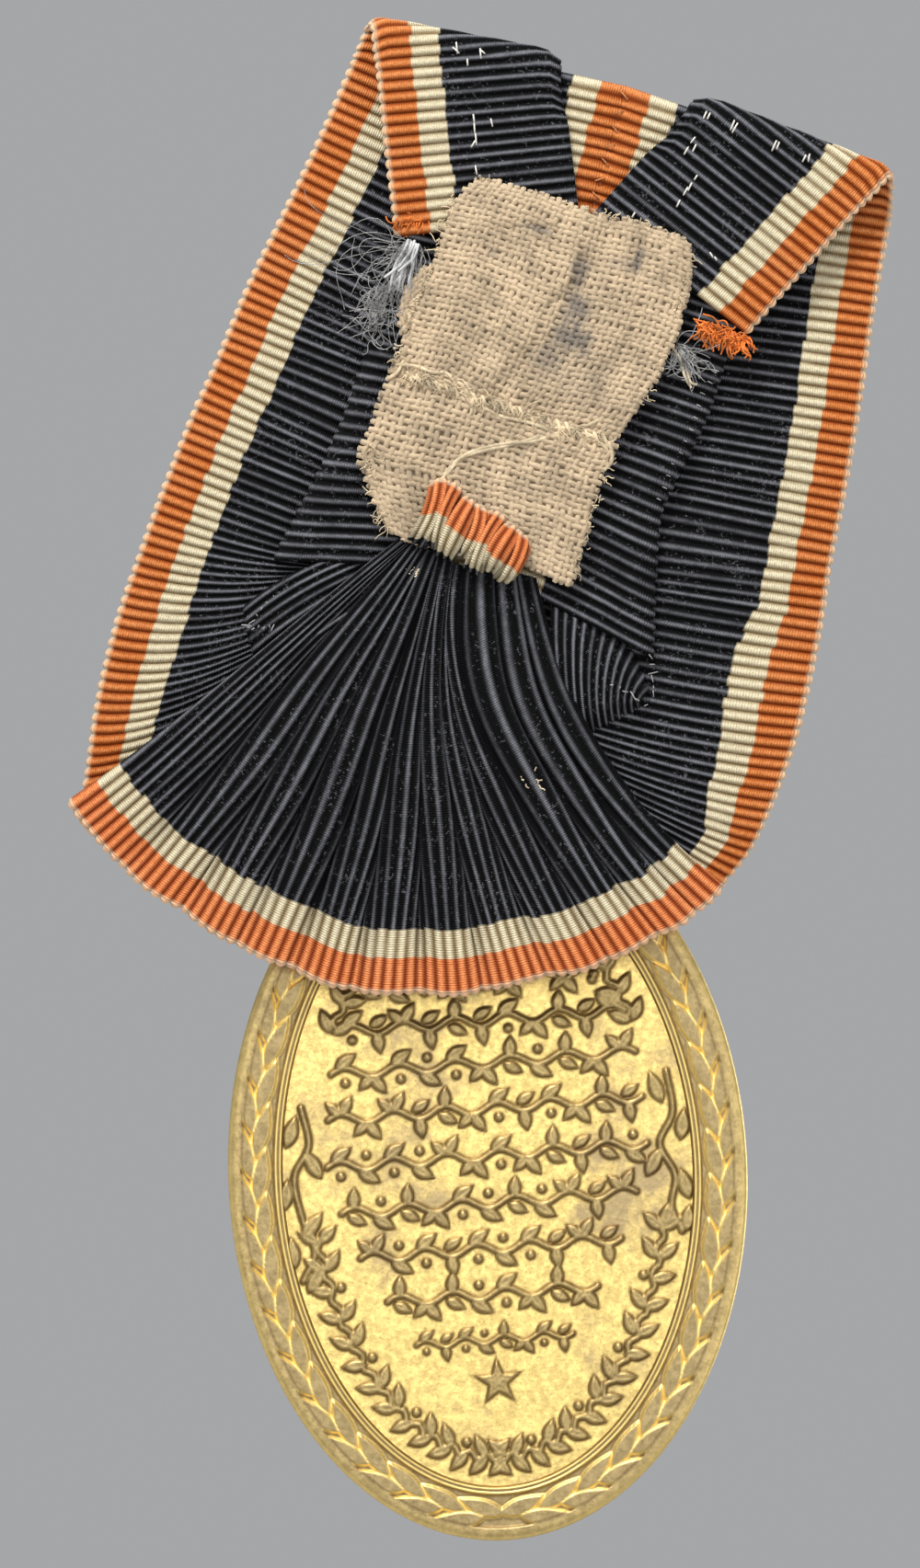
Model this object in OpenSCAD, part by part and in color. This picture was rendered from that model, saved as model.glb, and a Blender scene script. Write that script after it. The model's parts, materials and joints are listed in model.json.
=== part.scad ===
// Military service medal: an oval struck disc on a ring, hung from a ribbon
// that is folded to a U, gathered into a fan and backed with a linen patch.
//
// Frame: the medal hangs as it is worn. +Z is up, the struck front faces -Y
// and the sewn back faces +Y. The origin lies on the flat back of the linen
// patch, on the centre line of the ribbon. Flat pieces are drawn as they are
// seen from behind: the first number of a point runs towards -X, the second
// up along +Z.

/* [Disc] */
// Height of the oval disc
disc_h = 46.8; // [44:0.2:50]
// Width of the oval disc
disc_w = 33; // [31:0.5:36]
// Thickness over the raised rim
disc_t = 2.4; // [2:0.1:2.6]
// Width of the raised border band
border_w = 2.6; // [2:0.1:3.5]
// Depth of the field below the rim
field_sink = 0.45; // [0.2:0.05:0.6]
// Angle that the disc hangs out to one side
disc_swing = 18.1; // [0:0.1:30]

/* [Suspension] */
// Radius of the ball eyelet
ball_r = 1.9; // [1.8:0.1:2.2]
// Radius of the hole through the ball
ball_bore_r = 0.95; // [0.9:0.05:1.1]
// Height of the ball's centre above the edge of the oval
ball_rise = 1.7; // [1.4:0.1:2]
// Mean radius of the ring
ring_r = 6.7; // [6:0.1:7.5]
// Radius of the ring's wire
ring_wire_r = 0.55; // [0.4:0.05:0.6]
// Radius of the link's wire
link_wire_r = 0.4; // [0.3:0.05:0.45]
// Radius of the thread bar that the link hangs on
bar_r = 0.42; // [0.3:0.02:0.5]
// Height of the ring's centre below the origin
ring_drop = 23.9; // [23:0.1:25]

/* [Ribbon] */
// Thickness of the ribbon
ribbon_t = 0.5; // [0.4:0.05:0.6]
// Height of the ribbon's upper corners above the origin
top_z = 14; // [13:0.5:15]
// Radius of the fan's outer edge
fan_r = 28; // [27:0.5:29]
// Thickness of the pleated fan
fan_t = 1.5; // [1.2:0.1:1.6]
// Number of raised pleats on the fan
pleats = 8; // [5:1:10]

/* [Linen] */
// Thickness of the linen patch
linen_t = 0.7; // [0.5:0.05:0.75]
// Radius of the sewing thread
thread_r = 0.18; // [0.1:0.02:0.22]

/* [Hidden] */
$fn = 48;

// Layers from the front to the back, each value the layer's front face
leg_y = -3.1;
tuck_y = -2.6;
inner_y = -1.95;
fan_y = -2.55;
flap_y = -1.25;
linen_y = -linen_t;
tail_y = -0.85;
gather_y = 0;

ring_y = -5.2;
bar_y = -3.7;
bar_z = 1.8 - ring_drop + ring_r;
bar_half = 2.2;
fan_centre = [-4, -17];
fan_left = -40;
fan_right = 63;

bronze = "#c8ab62";
brass = "#b89a55";
black_rep = "#26262e";
cream = "#e6d6ac";
rust = "#c8682a";
linen = "#c9b795";
thread_white = "#d8d4cc";
thread_dark = "#4a4034";

// Points of a curve with one handle
function bend(a, b, c, n = 8) =
    [for (i = [0:n]) let (t = i / n)
        (1 - t) * (1 - t) * a + 2 * t * (1 - t) * b + t * t * c];

// Points of an oval
function oval(w, h, n = 96) =
    [for (i = [0:n - 1]) [w / 2 * sin(i * 360 / n), h / 2 * cos(i * 360 / n)]];

// Points on an arc round the fan's centre, angles from straight down
function fan_arc(r, from, to, n = 18) =
    [for (i = [0:n]) let (a = from + (to - from) * i / n)
        fan_centre + r * [sin(a), -cos(a)]];

left_edge = concat([[-17.1, top_z]],
    bend([-17.5, 11.5], [-20.5, -4], [-22.3, -26]), [[-22.2, -31]]);
right_edge = bend([17.6, top_z], [20.25, -6], [21.1, -22.5]);

// A flat piece drawn as seen from behind, its front face at y
module cloth(points, y, t) {
    translate([0, y, 0])
        rotate([90, 0, 180])
            linear_extrude(t) polygon(points);
}

// A straight thread between two points seen from behind, lying at y
module stitch(a, b, y, r = thread_r) {
    run = b - a;
    translate([-a[0], y, a[1]])
        rotate([0, atan2(-run[0], run[1]), 0])
            cylinder(h = norm(run), r = r, $fn = 16);
}

// Places its children where the disc hangs on the ring
module on_ring() {
    translate([0, ring_y, -ring_drop])
        rotate([0, disc_swing, 0])
            children();
}

module oval_plate(w, h, t) {
    rotate([90, 0, 0])
        translate([0, 0, -t / 2])
            linear_extrude(t) polygon(oval(w, h));
}

module five_point_star(r) {
    polygon([for (i = [0:9]) let (k = i % 2 == 0 ? r : r * 0.42)
        k * [sin(i * 36), cos(i * 36)]]);
}

module medal_disc() {
    centre_z = -(ring_r + ball_rise + disc_h / 2);
    core_t = disc_t - 2 * field_sink;
    color(bronze)
        on_ring()
            difference() {
                translate([0, 0, centre_z]) {
                    difference() {
                        oval_plate(disc_w, disc_h, disc_t);
                        for (side = [-1, 1])
                            translate([0, side * (core_t + disc_t) / 2, 0])
                                oval_plate(disc_w - 2 * border_w, disc_h - 2 * border_w, disc_t);
                    }
                    translate([0, disc_t / 2 - field_sink, -13.2])
                        rotate([-90, 0, 0])
                            linear_extrude(field_sink * 0.8) rotate(180) five_point_star(1.6);
                }
                translate([0, 0, -ring_r]) sphere(r = ball_r + 0.01);
            }
}

module ball_eyelet() {
    color(bronze)
        on_ring()
            translate([0, 0, -ring_r])
                rotate([0, 90, 0])
                    rotate_extrude()
                        intersection() {
                            circle(r = ball_r);
                            translate([ball_bore_r, -ball_r]) square([ball_r, 2 * ball_r]);
                        }
}

module suspension_ring() {
    color(brass)
        translate([0, ring_y, -ring_drop])
            rotate([90, 0, 0])
                rotate_extrude() translate([ring_r, 0]) circle(r = ring_wire_r);
}

module hanging_link() {
    reach = norm([ring_y - bar_y, ring_r - ring_drop - bar_z]);
    lean = atan2(bar_y - ring_y, bar_z + ring_drop - ring_r);
    bend_r = ring_wire_r + 0.1 + link_wire_r;
    color(brass)
        translate([0, bar_y, bar_z])
            rotate([-lean, 0, 0])
                rotate([0, 90, 0]) {
                    rotate([0, 0, 90])
                        rotate_extrude(angle = 180) translate([bend_r, 0]) circle(r = link_wire_r);
                    translate([reach, 0, 0])
                        rotate([0, 0, -90])
                            rotate_extrude(angle = 180) translate([bend_r, 0]) circle(r = link_wire_r);
                    for (side = [-1, 1])
                        translate([0, side * bend_r, 0])
                            rotate([0, 90, 0]) cylinder(h = reach, r = link_wire_r);
                }
}

module thread_bar() {
    color(thread_dark)
        translate([0, bar_y, bar_z]) {
            rotate([0, 90, 0]) cylinder(h = 2 * bar_half, r = bar_r, center = true);
            for (side = [-1, 1])
                translate([side * bar_half, 0, 0]) {
                    sphere(r = bar_r);
                    rotate([-90, 0, 0]) cylinder(h = inner_y - bar_y, r = bar_r);
                }
        }
}

module left_leg() {
    color(black_rep) {
        cloth(concat([[-3.5, top_z]], left_edge, [[-20.9, -36], [-12, -29], [-3.5, -21.5]]),
            leg_y, ribbon_t);
        cloth([[-3.5, top_z], [-11, top_z], [-13, -21.5], [-9.8, -20.6], [-6.7, -17.2], [-3.5, -16.5]],
            tuck_y, inner_y - tuck_y);
    }
}

module right_leg() {
    color(black_rep) {
        cloth(concat([[3.5, top_z]], right_edge, [[21, -25], [11.5, -25], [3.5, -21.5]]), leg_y, ribbon_t);
        cloth([[3.5, top_z], [9.5, top_z], [10.5, -17.2], [3.5, -16.5]],
            tuck_y, inner_y - tuck_y);
    }
}

module left_inner_fold() {
    color(rust)
        cloth([[-0.4, top_z], [-11, top_z], [-11.6, -8], [-13.6, -17.2], [-0.4, -16.5]],
            inner_y, ribbon_t);
}

module right_inner_fold() {
    color(rust)
        cloth([[-0.2, top_z], [9.5, top_z], [9, -9], [10.9, -17.2], [-0.2, -16.5]],
            inner_y, ribbon_t);
}

module ribbon_fan() {
    step = (fan_right - fan_left) / pleats;
    color(black_rep) {
        cloth(concat(fan_arc(fan_r, fan_left, fan_right),
            [[21.2, -22.6], [11.5, -22.6], [11.2, -17.5], [-6.4, -17.5], [-12, -24.5], [-20.6, -35.4]]),
            fan_y, fan_t);
        for (i = [0:pleats - 1])
            cloth(concat(fan_arc(fan_r - 0.8, fan_left + step * (i + 0.25), fan_left + step * (i + 0.75), 2),
                fan_arc(5, fan_left + step * (i + 0.7), fan_left + step * (i + 0.3), 1)),
                fan_y + fan_t, 0.4);
    }
}

module ribbon_gather() {
    color(cream)
        cloth([[-5.4, -12.9], [-4, -12.7], [1.6, -14.6], [0.8, -17.4], [-5.8, -17.4]],
            gather_y, 1);
}

module left_flap() {
    color(black_rep) {
        cloth([[-16.8, top_z + 0.1], [-5.2, top_z + 1.1], [-2.6, 6.4], [-1.8, 2.5], [-9.6, 1.4],
            [-12.4, 2.4], [-15, 10.5]], flap_y, ribbon_t);
        cloth([[-16.8, top_z + 0.05], [-16.2, top_z + 0.7], [-5.6, top_z + 1.6], [-4.6, top_z + 0.05]],
            leg_y, flap_y - leg_y);
    }
}

module right_flap() {
    color(black_rep) {
        cloth([[17.2, top_z + 0.1], [4.2, top_z + 1.1], [0.5, 6.4], [-0.4, 2.5], [9.4, 1.2],
            [12, 2.4], [15.3, 10.5]], flap_y, ribbon_t);
        cloth([[17.4, top_z + 0.05], [16.8, top_z + 0.6], [4.6, top_z + 1.5], [3.6, top_z + 0.05]],
            leg_y, flap_y - leg_y);
    }
}

module linen_patch() {
    color(linen)
        cloth([[-7.4, 6.4], [5.8, 6], [6.8, 4.6], [6.9, 0.5], [5.1, -6.9], [-9.6, -6.9],
            [-9, 0], [-8.8, 4.6]], linen_y, linen_t);
}

module linen_tail() {
    color(linen)
        cloth([[-9.7, -7.1], [5.1, -7.1], [4.7, -12], [4.7, -16.7], [-5, -16.9], [-6.8, -17.3],
            [-9.4, -15.5], [-10.2, -12.5]], tail_y, linen_t);
}

module linen_tongue() {
    color(linen)
        cloth([[-9.2, 3.2], [-9.3, -1.5], [-10.6, -0.6], [-10.4, 2.6]], flap_y + 0.6, 0.4);
}

module seam_thread() {
    color(thread_dark)
        for (z = [-13:2.2:13])
            stitch([-1, z], [0.4, z + 0.7], inner_y - thread_r);
}

module waist_thread() {
    color(thread_white)
        for (u = [-8.6:1.7:4.2])
            stitch([u, -7.7], [u + 1, -7.2], tail_y + linen_t + thread_r);
}

module gather_thread() {
    color(thread_dark)
        for (u = [-4.8:1.5:0])
            stitch([u, -16.9], [u + 0.9, -15.9], gather_y + 1 + thread_r);
}

module left_flap_stitches() {
    color(thread_white) {
        for (i = [0:2])
            stitch([-11.6 + 1.9 * i, 13.2 + 0.4 * i], [-11.4 + 1.9 * i, 14 + 0.4 * i],
                flap_y + ribbon_t + thread_r);
        for (i = [0:2])
            stitch([-8.9 + 0.3 * i, 9.4 - 1.2 * i], [-8.6 + 0.3 * i, 8.6 - 1.2 * i],
                flap_y + ribbon_t + thread_r);
    }
}

module right_flap_stitches() {
    color(thread_white) {
        for (i = [0:3])
            stitch([4.9 + 2.2 * i, 14 - 0.25 * i], [4.7 + 2.2 * i, 13.3 - 0.25 * i],
                flap_y + ribbon_t + thread_r);
        for (i = [0:2])
            stitch([5.7 - 0.3 * i, 10.4 - 1.2 * i], [5.4 - 0.3 * i, 9.5 - 1.2 * i],
                flap_y + ribbon_t + thread_r);
    }
}

module left_frayed_end() {
    color(thread_white)
        for (i = [0:5])
            stitch([-12.6 + 0.45 * i, 1.1], [-12.9 + 0.45 * i, -3.4], inner_y + ribbon_t + 0.5, 0.2);
}

module right_frayed_end() {
    color(rust)
        for (i = [0:5])
            stitch([8.9 + 0.45 * i, 0.9], [9 + 0.45 * i, 0.1], flap_y + 0.25, 0.2);
}

medal_disc();
ball_eyelet();
suspension_ring();
hanging_link();
thread_bar();
left_leg();
right_leg();
left_inner_fold();
right_inner_fold();
ribbon_fan();
ribbon_gather();
left_flap();
right_flap();
linen_patch();
linen_tail();
linen_tongue();
seam_thread();
waist_thread();
gather_thread();
left_flap_stitches();
right_flap_stitches();
left_frayed_end();
right_frayed_end();
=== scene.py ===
import json
import math

import bmesh
import bpy
import numpy as np
from mathutils import Matrix, Vector
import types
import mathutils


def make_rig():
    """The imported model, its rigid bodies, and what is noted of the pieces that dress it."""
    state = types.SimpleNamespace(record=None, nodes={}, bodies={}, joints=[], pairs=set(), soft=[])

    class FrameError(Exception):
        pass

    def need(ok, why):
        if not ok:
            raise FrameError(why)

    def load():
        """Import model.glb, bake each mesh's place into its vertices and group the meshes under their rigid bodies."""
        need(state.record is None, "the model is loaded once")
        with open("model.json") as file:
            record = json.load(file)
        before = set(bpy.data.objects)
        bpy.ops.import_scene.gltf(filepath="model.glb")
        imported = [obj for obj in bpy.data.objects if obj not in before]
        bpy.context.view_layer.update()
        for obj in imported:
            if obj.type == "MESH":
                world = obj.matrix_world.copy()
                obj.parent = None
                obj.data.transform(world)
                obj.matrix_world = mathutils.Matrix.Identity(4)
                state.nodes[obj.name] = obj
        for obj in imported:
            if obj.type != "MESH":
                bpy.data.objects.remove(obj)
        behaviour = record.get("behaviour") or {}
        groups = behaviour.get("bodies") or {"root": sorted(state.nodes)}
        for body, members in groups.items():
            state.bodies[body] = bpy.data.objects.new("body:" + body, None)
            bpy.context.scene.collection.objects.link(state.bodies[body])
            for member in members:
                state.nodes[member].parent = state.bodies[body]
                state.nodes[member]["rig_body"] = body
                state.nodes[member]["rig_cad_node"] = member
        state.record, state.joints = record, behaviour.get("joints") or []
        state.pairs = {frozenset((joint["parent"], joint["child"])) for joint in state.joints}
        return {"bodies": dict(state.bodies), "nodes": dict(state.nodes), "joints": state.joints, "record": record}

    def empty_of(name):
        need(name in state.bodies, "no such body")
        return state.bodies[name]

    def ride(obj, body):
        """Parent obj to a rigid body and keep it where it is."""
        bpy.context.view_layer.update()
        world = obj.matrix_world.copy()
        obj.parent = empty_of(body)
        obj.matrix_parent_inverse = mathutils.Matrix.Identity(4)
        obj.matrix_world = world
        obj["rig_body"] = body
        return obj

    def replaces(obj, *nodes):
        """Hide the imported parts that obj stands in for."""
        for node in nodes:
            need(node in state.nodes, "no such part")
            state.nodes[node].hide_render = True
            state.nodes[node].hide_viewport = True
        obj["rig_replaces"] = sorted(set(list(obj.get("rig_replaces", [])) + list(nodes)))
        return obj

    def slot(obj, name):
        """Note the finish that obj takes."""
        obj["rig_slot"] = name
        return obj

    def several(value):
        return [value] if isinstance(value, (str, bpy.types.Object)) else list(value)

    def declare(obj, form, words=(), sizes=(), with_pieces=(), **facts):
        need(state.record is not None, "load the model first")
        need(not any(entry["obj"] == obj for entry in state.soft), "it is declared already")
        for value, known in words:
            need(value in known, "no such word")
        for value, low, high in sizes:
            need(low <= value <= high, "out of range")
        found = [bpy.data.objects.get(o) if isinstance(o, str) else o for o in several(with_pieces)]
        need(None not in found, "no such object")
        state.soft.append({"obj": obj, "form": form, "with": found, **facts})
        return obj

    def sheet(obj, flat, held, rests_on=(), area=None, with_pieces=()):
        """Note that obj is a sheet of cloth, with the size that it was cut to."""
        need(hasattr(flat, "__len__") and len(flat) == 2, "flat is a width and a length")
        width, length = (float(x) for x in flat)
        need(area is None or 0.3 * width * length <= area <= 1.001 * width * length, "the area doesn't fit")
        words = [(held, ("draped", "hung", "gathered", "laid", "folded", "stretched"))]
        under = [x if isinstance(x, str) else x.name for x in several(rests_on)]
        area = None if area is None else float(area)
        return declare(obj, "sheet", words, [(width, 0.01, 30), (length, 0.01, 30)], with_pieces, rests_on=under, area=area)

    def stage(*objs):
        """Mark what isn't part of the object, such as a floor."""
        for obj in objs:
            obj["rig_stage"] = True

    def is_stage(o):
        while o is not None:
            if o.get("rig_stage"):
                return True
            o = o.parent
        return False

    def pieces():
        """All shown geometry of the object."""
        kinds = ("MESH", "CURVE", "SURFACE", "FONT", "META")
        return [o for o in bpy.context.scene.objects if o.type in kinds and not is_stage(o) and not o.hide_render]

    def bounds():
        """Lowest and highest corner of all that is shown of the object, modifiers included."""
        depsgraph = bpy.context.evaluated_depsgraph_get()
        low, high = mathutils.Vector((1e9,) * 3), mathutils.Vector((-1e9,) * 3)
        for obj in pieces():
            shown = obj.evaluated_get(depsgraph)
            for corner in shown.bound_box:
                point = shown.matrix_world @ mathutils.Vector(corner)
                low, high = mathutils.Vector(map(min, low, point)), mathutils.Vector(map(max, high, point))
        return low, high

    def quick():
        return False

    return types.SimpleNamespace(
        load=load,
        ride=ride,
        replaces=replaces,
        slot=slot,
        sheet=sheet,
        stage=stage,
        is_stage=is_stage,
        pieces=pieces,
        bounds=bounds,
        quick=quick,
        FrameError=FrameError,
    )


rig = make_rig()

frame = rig.load()
CAD_BOX = [list(corner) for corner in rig.bounds()]

bl_info = {
    "name": "Service medal",
    "version": (1, 0, 0),
    "blender": (4, 5, 0),
    "location": "View3D > Sidebar > Medal",
    "description": "Builds a struck medal on its folded and gathered ribbon",
    "category": "Object",
}

MM = 0.001

# Flat shapes are drawn as seen from behind: u runs towards -X, z runs up,
# and y is the depth, all in millimetres. Layers, at the middle of the cloth:
LEG_Y = -2.85
INNER_Y = -1.72
FLAP_Y = -0.98
RING_Y = -5.2
# The thread bar's middle, the ring's centre and the radius of its wire's line
BAR = (0.0, -3.7, -15.4)
RING_CENTRE = (0.0, -5.2, -23.9)
RING_R = 6.7
# The fan: the centre and radius of its outer edge, and the angles of its two
# sides from straight down, in degrees
FAN_CENTRE = np.array([-4.0, -17.0])
FAN_R = 28.0
FAN_LEFT, FAN_RIGHT = -40.0, 56.5


# ---------------------------------------------------------------- settings

class RibbonSettings(bpy.types.PropertyGroup):
    pitch: bpy.props.FloatProperty(
        name="Rib pitch", description="Distance from one rib of the ribbon to the next",
        default=0.0007, min=0.0005, max=0.0012, unit="LENGTH", subtype="DISTANCE", precision=5)
    rib_height: bpy.props.FloatProperty(
        name="Rib height", description="How far a rib stands up from the cloth",
        default=0.00021, min=0.00005, max=0.0003, unit="LENGTH", subtype="DISTANCE", precision=5)
    edge_stripe: bpy.props.FloatProperty(
        name="Outer stripe", description="Width of the stripe along the selvedge",
        default=0.0022, min=0.001, max=0.004, unit="LENGTH", subtype="DISTANCE", precision=5)
    pale_stripe: bpy.props.FloatProperty(
        name="Pale stripe", description="Width of the pale stripe beside it",
        default=0.0018, min=0.001, max=0.004, unit="LENGTH", subtype="DISTANCE", precision=5)
    orange: bpy.props.FloatVectorProperty(
        name="Orange", description="Colour of the outer stripe on the legs",
        default=(0.58, 0.155, 0.028), size=3, min=0, max=1, subtype="COLOR")
    salmon: bpy.props.FloatVectorProperty(
        name="Unfaded orange", description="Colour of the outer stripe on the fan",
        default=(0.74, 0.205, 0.060), size=3, min=0, max=1, subtype="COLOR")
    cream: bpy.props.FloatVectorProperty(
        name="Cream", description="Colour of the pale stripe",
        default=(0.80, 0.71, 0.49), size=3, min=0, max=1, subtype="COLOR")
    black: bpy.props.FloatVectorProperty(
        name="Black", description="Colour of the middle of the ribbon",
        default=(0.165, 0.167, 0.184), size=3, min=0, max=1, subtype="COLOR")


class LinenSettings(bpy.types.PropertyGroup):
    pitch: bpy.props.FloatProperty(
        name="Thread pitch", description="Distance from one thread of the linen to the next",
        default=0.00041, min=0.0003, max=0.0008, unit="LENGTH", subtype="DISTANCE", precision=5)
    thread: bpy.props.FloatProperty(
        name="Thread radius", description="Radius of a linen thread",
        default=0.0002, min=0.00008, max=0.0003, unit="LENGTH", subtype="DISTANCE", precision=5)
    colour: bpy.props.FloatVectorProperty(
        name="Linen", description="Colour of the linen",
        default=(0.45, 0.345, 0.225), size=3, min=0, max=1, subtype="COLOR")


class DiscSettings(bpy.types.PropertyGroup):
    relief: bpy.props.FloatProperty(
        name="Relief", description="Height of the ornament above the field",
        default=0.00024, min=0.0001, max=0.0004, unit="LENGTH", subtype="DISTANCE", precision=5)
    brass: bpy.props.FloatVectorProperty(
        name="Brass", description="Colour of the clean metal",
        default=(0.86, 0.64, 0.23), size=3, min=0, max=1, subtype="COLOR")
    # colour of the painted shade in the corners of the relief
    crevice_shade: bpy.props.FloatVectorProperty(
        name="Crevice shade", description="Colour of the tarnish in the corners of the relief",
        default=(0.17, 0.10, 0.035), size=3, min=0, max=1, subtype="COLOR")


class StageSettings(bpy.types.PropertyGroup):
    floor: bpy.props.FloatVectorProperty(
        name="Floor", description="Colour of the floor",
        default=(0.40, 0.396, 0.39), size=3, min=0, max=1, subtype="COLOR")
    key_power: bpy.props.FloatProperty(
        name="Key light", description="Power of the main lamp in watts",
        default=3.0, min=0, max=200)


# ------------------------------------------------------------- line helpers

def smooth_line(points, per=20):
    """Dense points of a smooth line through the given ones."""
    p = np.asarray(points, float)
    q = np.vstack([2 * p[0] - p[1], p, 2 * p[-1] - p[-2]])
    t = np.linspace(0, 1, per, endpoint=False)[:, None]
    out = [0.5 * (2 * b + (c - a) * t + (2 * a - 5 * b + 4 * c - d) * t**2
                  + (3 * b - a - 3 * c + d) * t**3)
           for a, b, c, d in zip(q, q[1:], q[2:], q[3:])]
    return np.vstack(out + [p[-1:]])


class Line:
    """A smooth line that is read by the length along it."""

    def __init__(self, points, per=20):
        self.p = smooth_line(points, per)
        step = np.linalg.norm(np.diff(self.p, axis=0), axis=1)
        self.s = np.r_[0, np.cumsum(step)]
        self.length = self.s[-1]

    def at(self, s):
        s = np.asarray(s, float)
        out = np.stack([np.interp(s, self.s, c) for c in self.p.T], -1)
        for end, rest in ((0, np.minimum(s, 0)), (-1, np.maximum(s - self.length, 0))):
            a, b = (self.p[0], self.p[3]) if end == 0 else (self.p[-4], self.p[-1])
            out = out + rest[..., None] * (b - a) / np.linalg.norm(b - a)
        return out

    def inward(self, s, side):
        """Unit vector across the line at s, to its right for side 1, to its left for -1."""
        d = self.at(np.asarray(s) + 0.8) - self.at(np.asarray(s) - 0.8)
        d /= np.linalg.norm(d, axis=-1, keepdims=True)
        return side * np.stack([d[..., 1], -d[..., 0]], -1)


def wave(*args):
    """A smooth irregular wave from -1 to 1, from (position, frequency, seed) triples."""
    total = 0
    for x, f, k in args:
        total = total + np.sin(x * f + k) * 0.6 + np.sin(x * f * 2.17 + k * 1.7 + 1.3) * 0.4
    return total / len(args)


def bell(x, middle, width):
    """A rounded bump, 1 at the middle and fading over the width."""
    return np.exp(-((x - middle) / width) ** 2)


def soft(x, a, b):
    """A step from 0 at a to 1 at b with rounded ends."""
    t = np.clip((x - a) / (b - a), 0, 1)
    return t * t * (3 - 2 * t)


# ------------------------------------------------------------- mesh helpers

def new_object(name, verts_mm, faces, material, body="ribbon", attributes=(), smooth=True):
    """A mesh object from points in millimetres in the model frame."""
    mesh = bpy.data.meshes.new(name)
    v = np.asarray(verts_mm, float) * MM
    if isinstance(faces, np.ndarray):
        mesh.vertices.add(len(v))
        mesh.vertices.foreach_set("co", v.astype(np.float32).ravel())
        n, k = faces.shape
        mesh.loops.add(n * k)
        mesh.loops.foreach_set("vertex_index", faces.astype(np.int32).ravel())
        mesh.polygons.add(n)
        mesh.polygons.foreach_set("loop_start", np.arange(0, n * k, k, dtype=np.int32))
        mesh.polygons.foreach_set("loop_total", np.full(n, k, np.int32))
        mesh.update(calc_edges=True)
    else:
        mesh.from_pydata(v.tolist(), [], [list(f) for f in faces])
    for key, values in attributes:
        layer = mesh.attributes.new(key, "FLOAT", "POINT")
        layer.data.foreach_set("value", np.asarray(values, np.float32).ravel())
    mesh.validate()
    if smooth:
        mesh.shade_smooth()
    mesh.materials.append(material)
    obj = bpy.data.objects.new(name, mesh)
    bpy.context.scene.collection.objects.link(obj)
    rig.ride(obj, body)
    return obj


def add_uv(obj, per_vertex, name="cloth"):
    mesh = obj.data
    index = np.empty(len(mesh.loops), np.int32)
    mesh.loops.foreach_get("vertex_index", index)
    layer = mesh.uv_layers.new(name=name)
    layer.data.foreach_set("uv", np.asarray(per_vertex, np.float32)[index].ravel())


def grid_faces(rows, cols, start=0, flip=False, wrap=False):
    i, j = np.meshgrid(np.arange(rows - 1), np.arange(cols if wrap else cols - 1), indexing="ij")
    k = (j + 1) % cols
    quad = [i * cols + j, (i + 1) * cols + j, (i + 1) * cols + k, i * cols + k]
    if flip:
        quad = quad[::-1]
    return np.stack(quad, -1).reshape(-1, 4) + start


def closed_sheet(middle, half):
    """Points and faces of a closed sheet round a middle surface (rows, columns, 3)."""
    across = np.cross(np.gradient(middle, axis=0), np.gradient(middle, axis=1))
    across /= np.maximum(np.linalg.norm(across, axis=-1, keepdims=True), 1e-9)
    rows, cols = middle.shape[:2]
    lift = np.broadcast_to(half, (rows, cols))[..., None] * across
    points = np.concatenate([(middle + lift).reshape(-1, 3), (middle - lift).reshape(-1, 3)])
    n = rows * cols
    border = np.r_[np.arange(cols), np.arange(1, rows) * cols + cols - 1,
                   (rows - 1) * cols + np.arange(cols - 2, -1, -1),
                   np.arange(rows - 2, 0, -1) * cols]
    nxt = np.roll(border, -1)
    rim = np.stack([border, nxt, nxt + n, border + n], -1)
    return points, np.concatenate([grid_faces(rows, cols), grid_faces(rows, cols, n, True), rim])


def model(u, z, y):
    """Seen-from-behind coordinates to the model frame, still in millimetres."""
    u, z, y = np.broadcast_arrays(np.asarray(u, float), z, y)
    return np.stack([-u, y, z], -1)


PHASES = (0.0, 0.1, 0.28, 0.5, 0.72, 0.9)


def rib_rows(first, last, pitch):
    """Lengths along the ribbon for ribs number first to last, six to a rib."""
    rows = [(k + f) * pitch for k in range(first, last) for f in PHASES]
    return np.array(rows + [last * pitch])


def rib_relief(s, pitch, height):
    f = (s / pitch) % 1.0
    return height * np.maximum(np.sin(np.pi * f), 0) ** 0.8


def columns(width, step=0.75, both=False):
    """Distances across the ribbon, closer together at a selvedge."""
    start = [0, 0.06, 0.18, 0.4, 0.75]
    n = max(int((width - 1.2) / step), 2)
    middle = list(np.linspace(1.2, width - (1.2 if both else 0), n))
    return np.array(start + middle + ([width - c for c in start[::-1]] if both else []))


def ribbon_piece(name, s, w, place, material, edge_at=0.0, relief_scale=1.0):
    """Ribbed cloth: place(S, W) gives u, z and y of the middle of the cloth.
    w is the distance from the selvedge at edge_at, which the stripes follow."""
    setup = bpy.context.scene.medal_ribbon
    pitch, height = setup.pitch / MM, setup.rib_height / MM
    S, W = np.meshgrid(s, w, indexing="ij")
    relief = rib_relief(S, pitch, height * relief_scale)
    u, z, y, *fold_shade = place(S, W)
    middle = model(u, z, y)
    # ribs bulge past the selvedge, which gives its scalloped line
    out = middle[:, :1] - middle[:, 3:4]
    out /= np.maximum(np.linalg.norm(out, axis=-1, keepdims=True), 1e-9)
    from_edge = np.abs(W - edge_at)
    middle = middle + out * (relief * 0.95 * np.exp(-from_edge / 0.2))[..., None]
    round_off = np.sqrt(np.clip(from_edge / 0.25, 0.05, 1))
    points, faces = closed_sheet(middle, (0.085 + relief) * round_off)
    # a place may also give painted shade for the cloth's folds, kept per point for the material
    fold_shade = np.broadcast_to(fold_shade[0] if fold_shade else 0.0, S.shape).ravel()
    obj = new_object(name, points, faces, material, attributes=[("fold_shade", np.r_[fold_shade, fold_shade])])
    uv = np.stack([from_edge, S], -1).reshape(-1, 2)
    add_uv(obj, np.concatenate([uv, uv]))
    return obj


# ---------------------------------------------------------- material helpers

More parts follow.
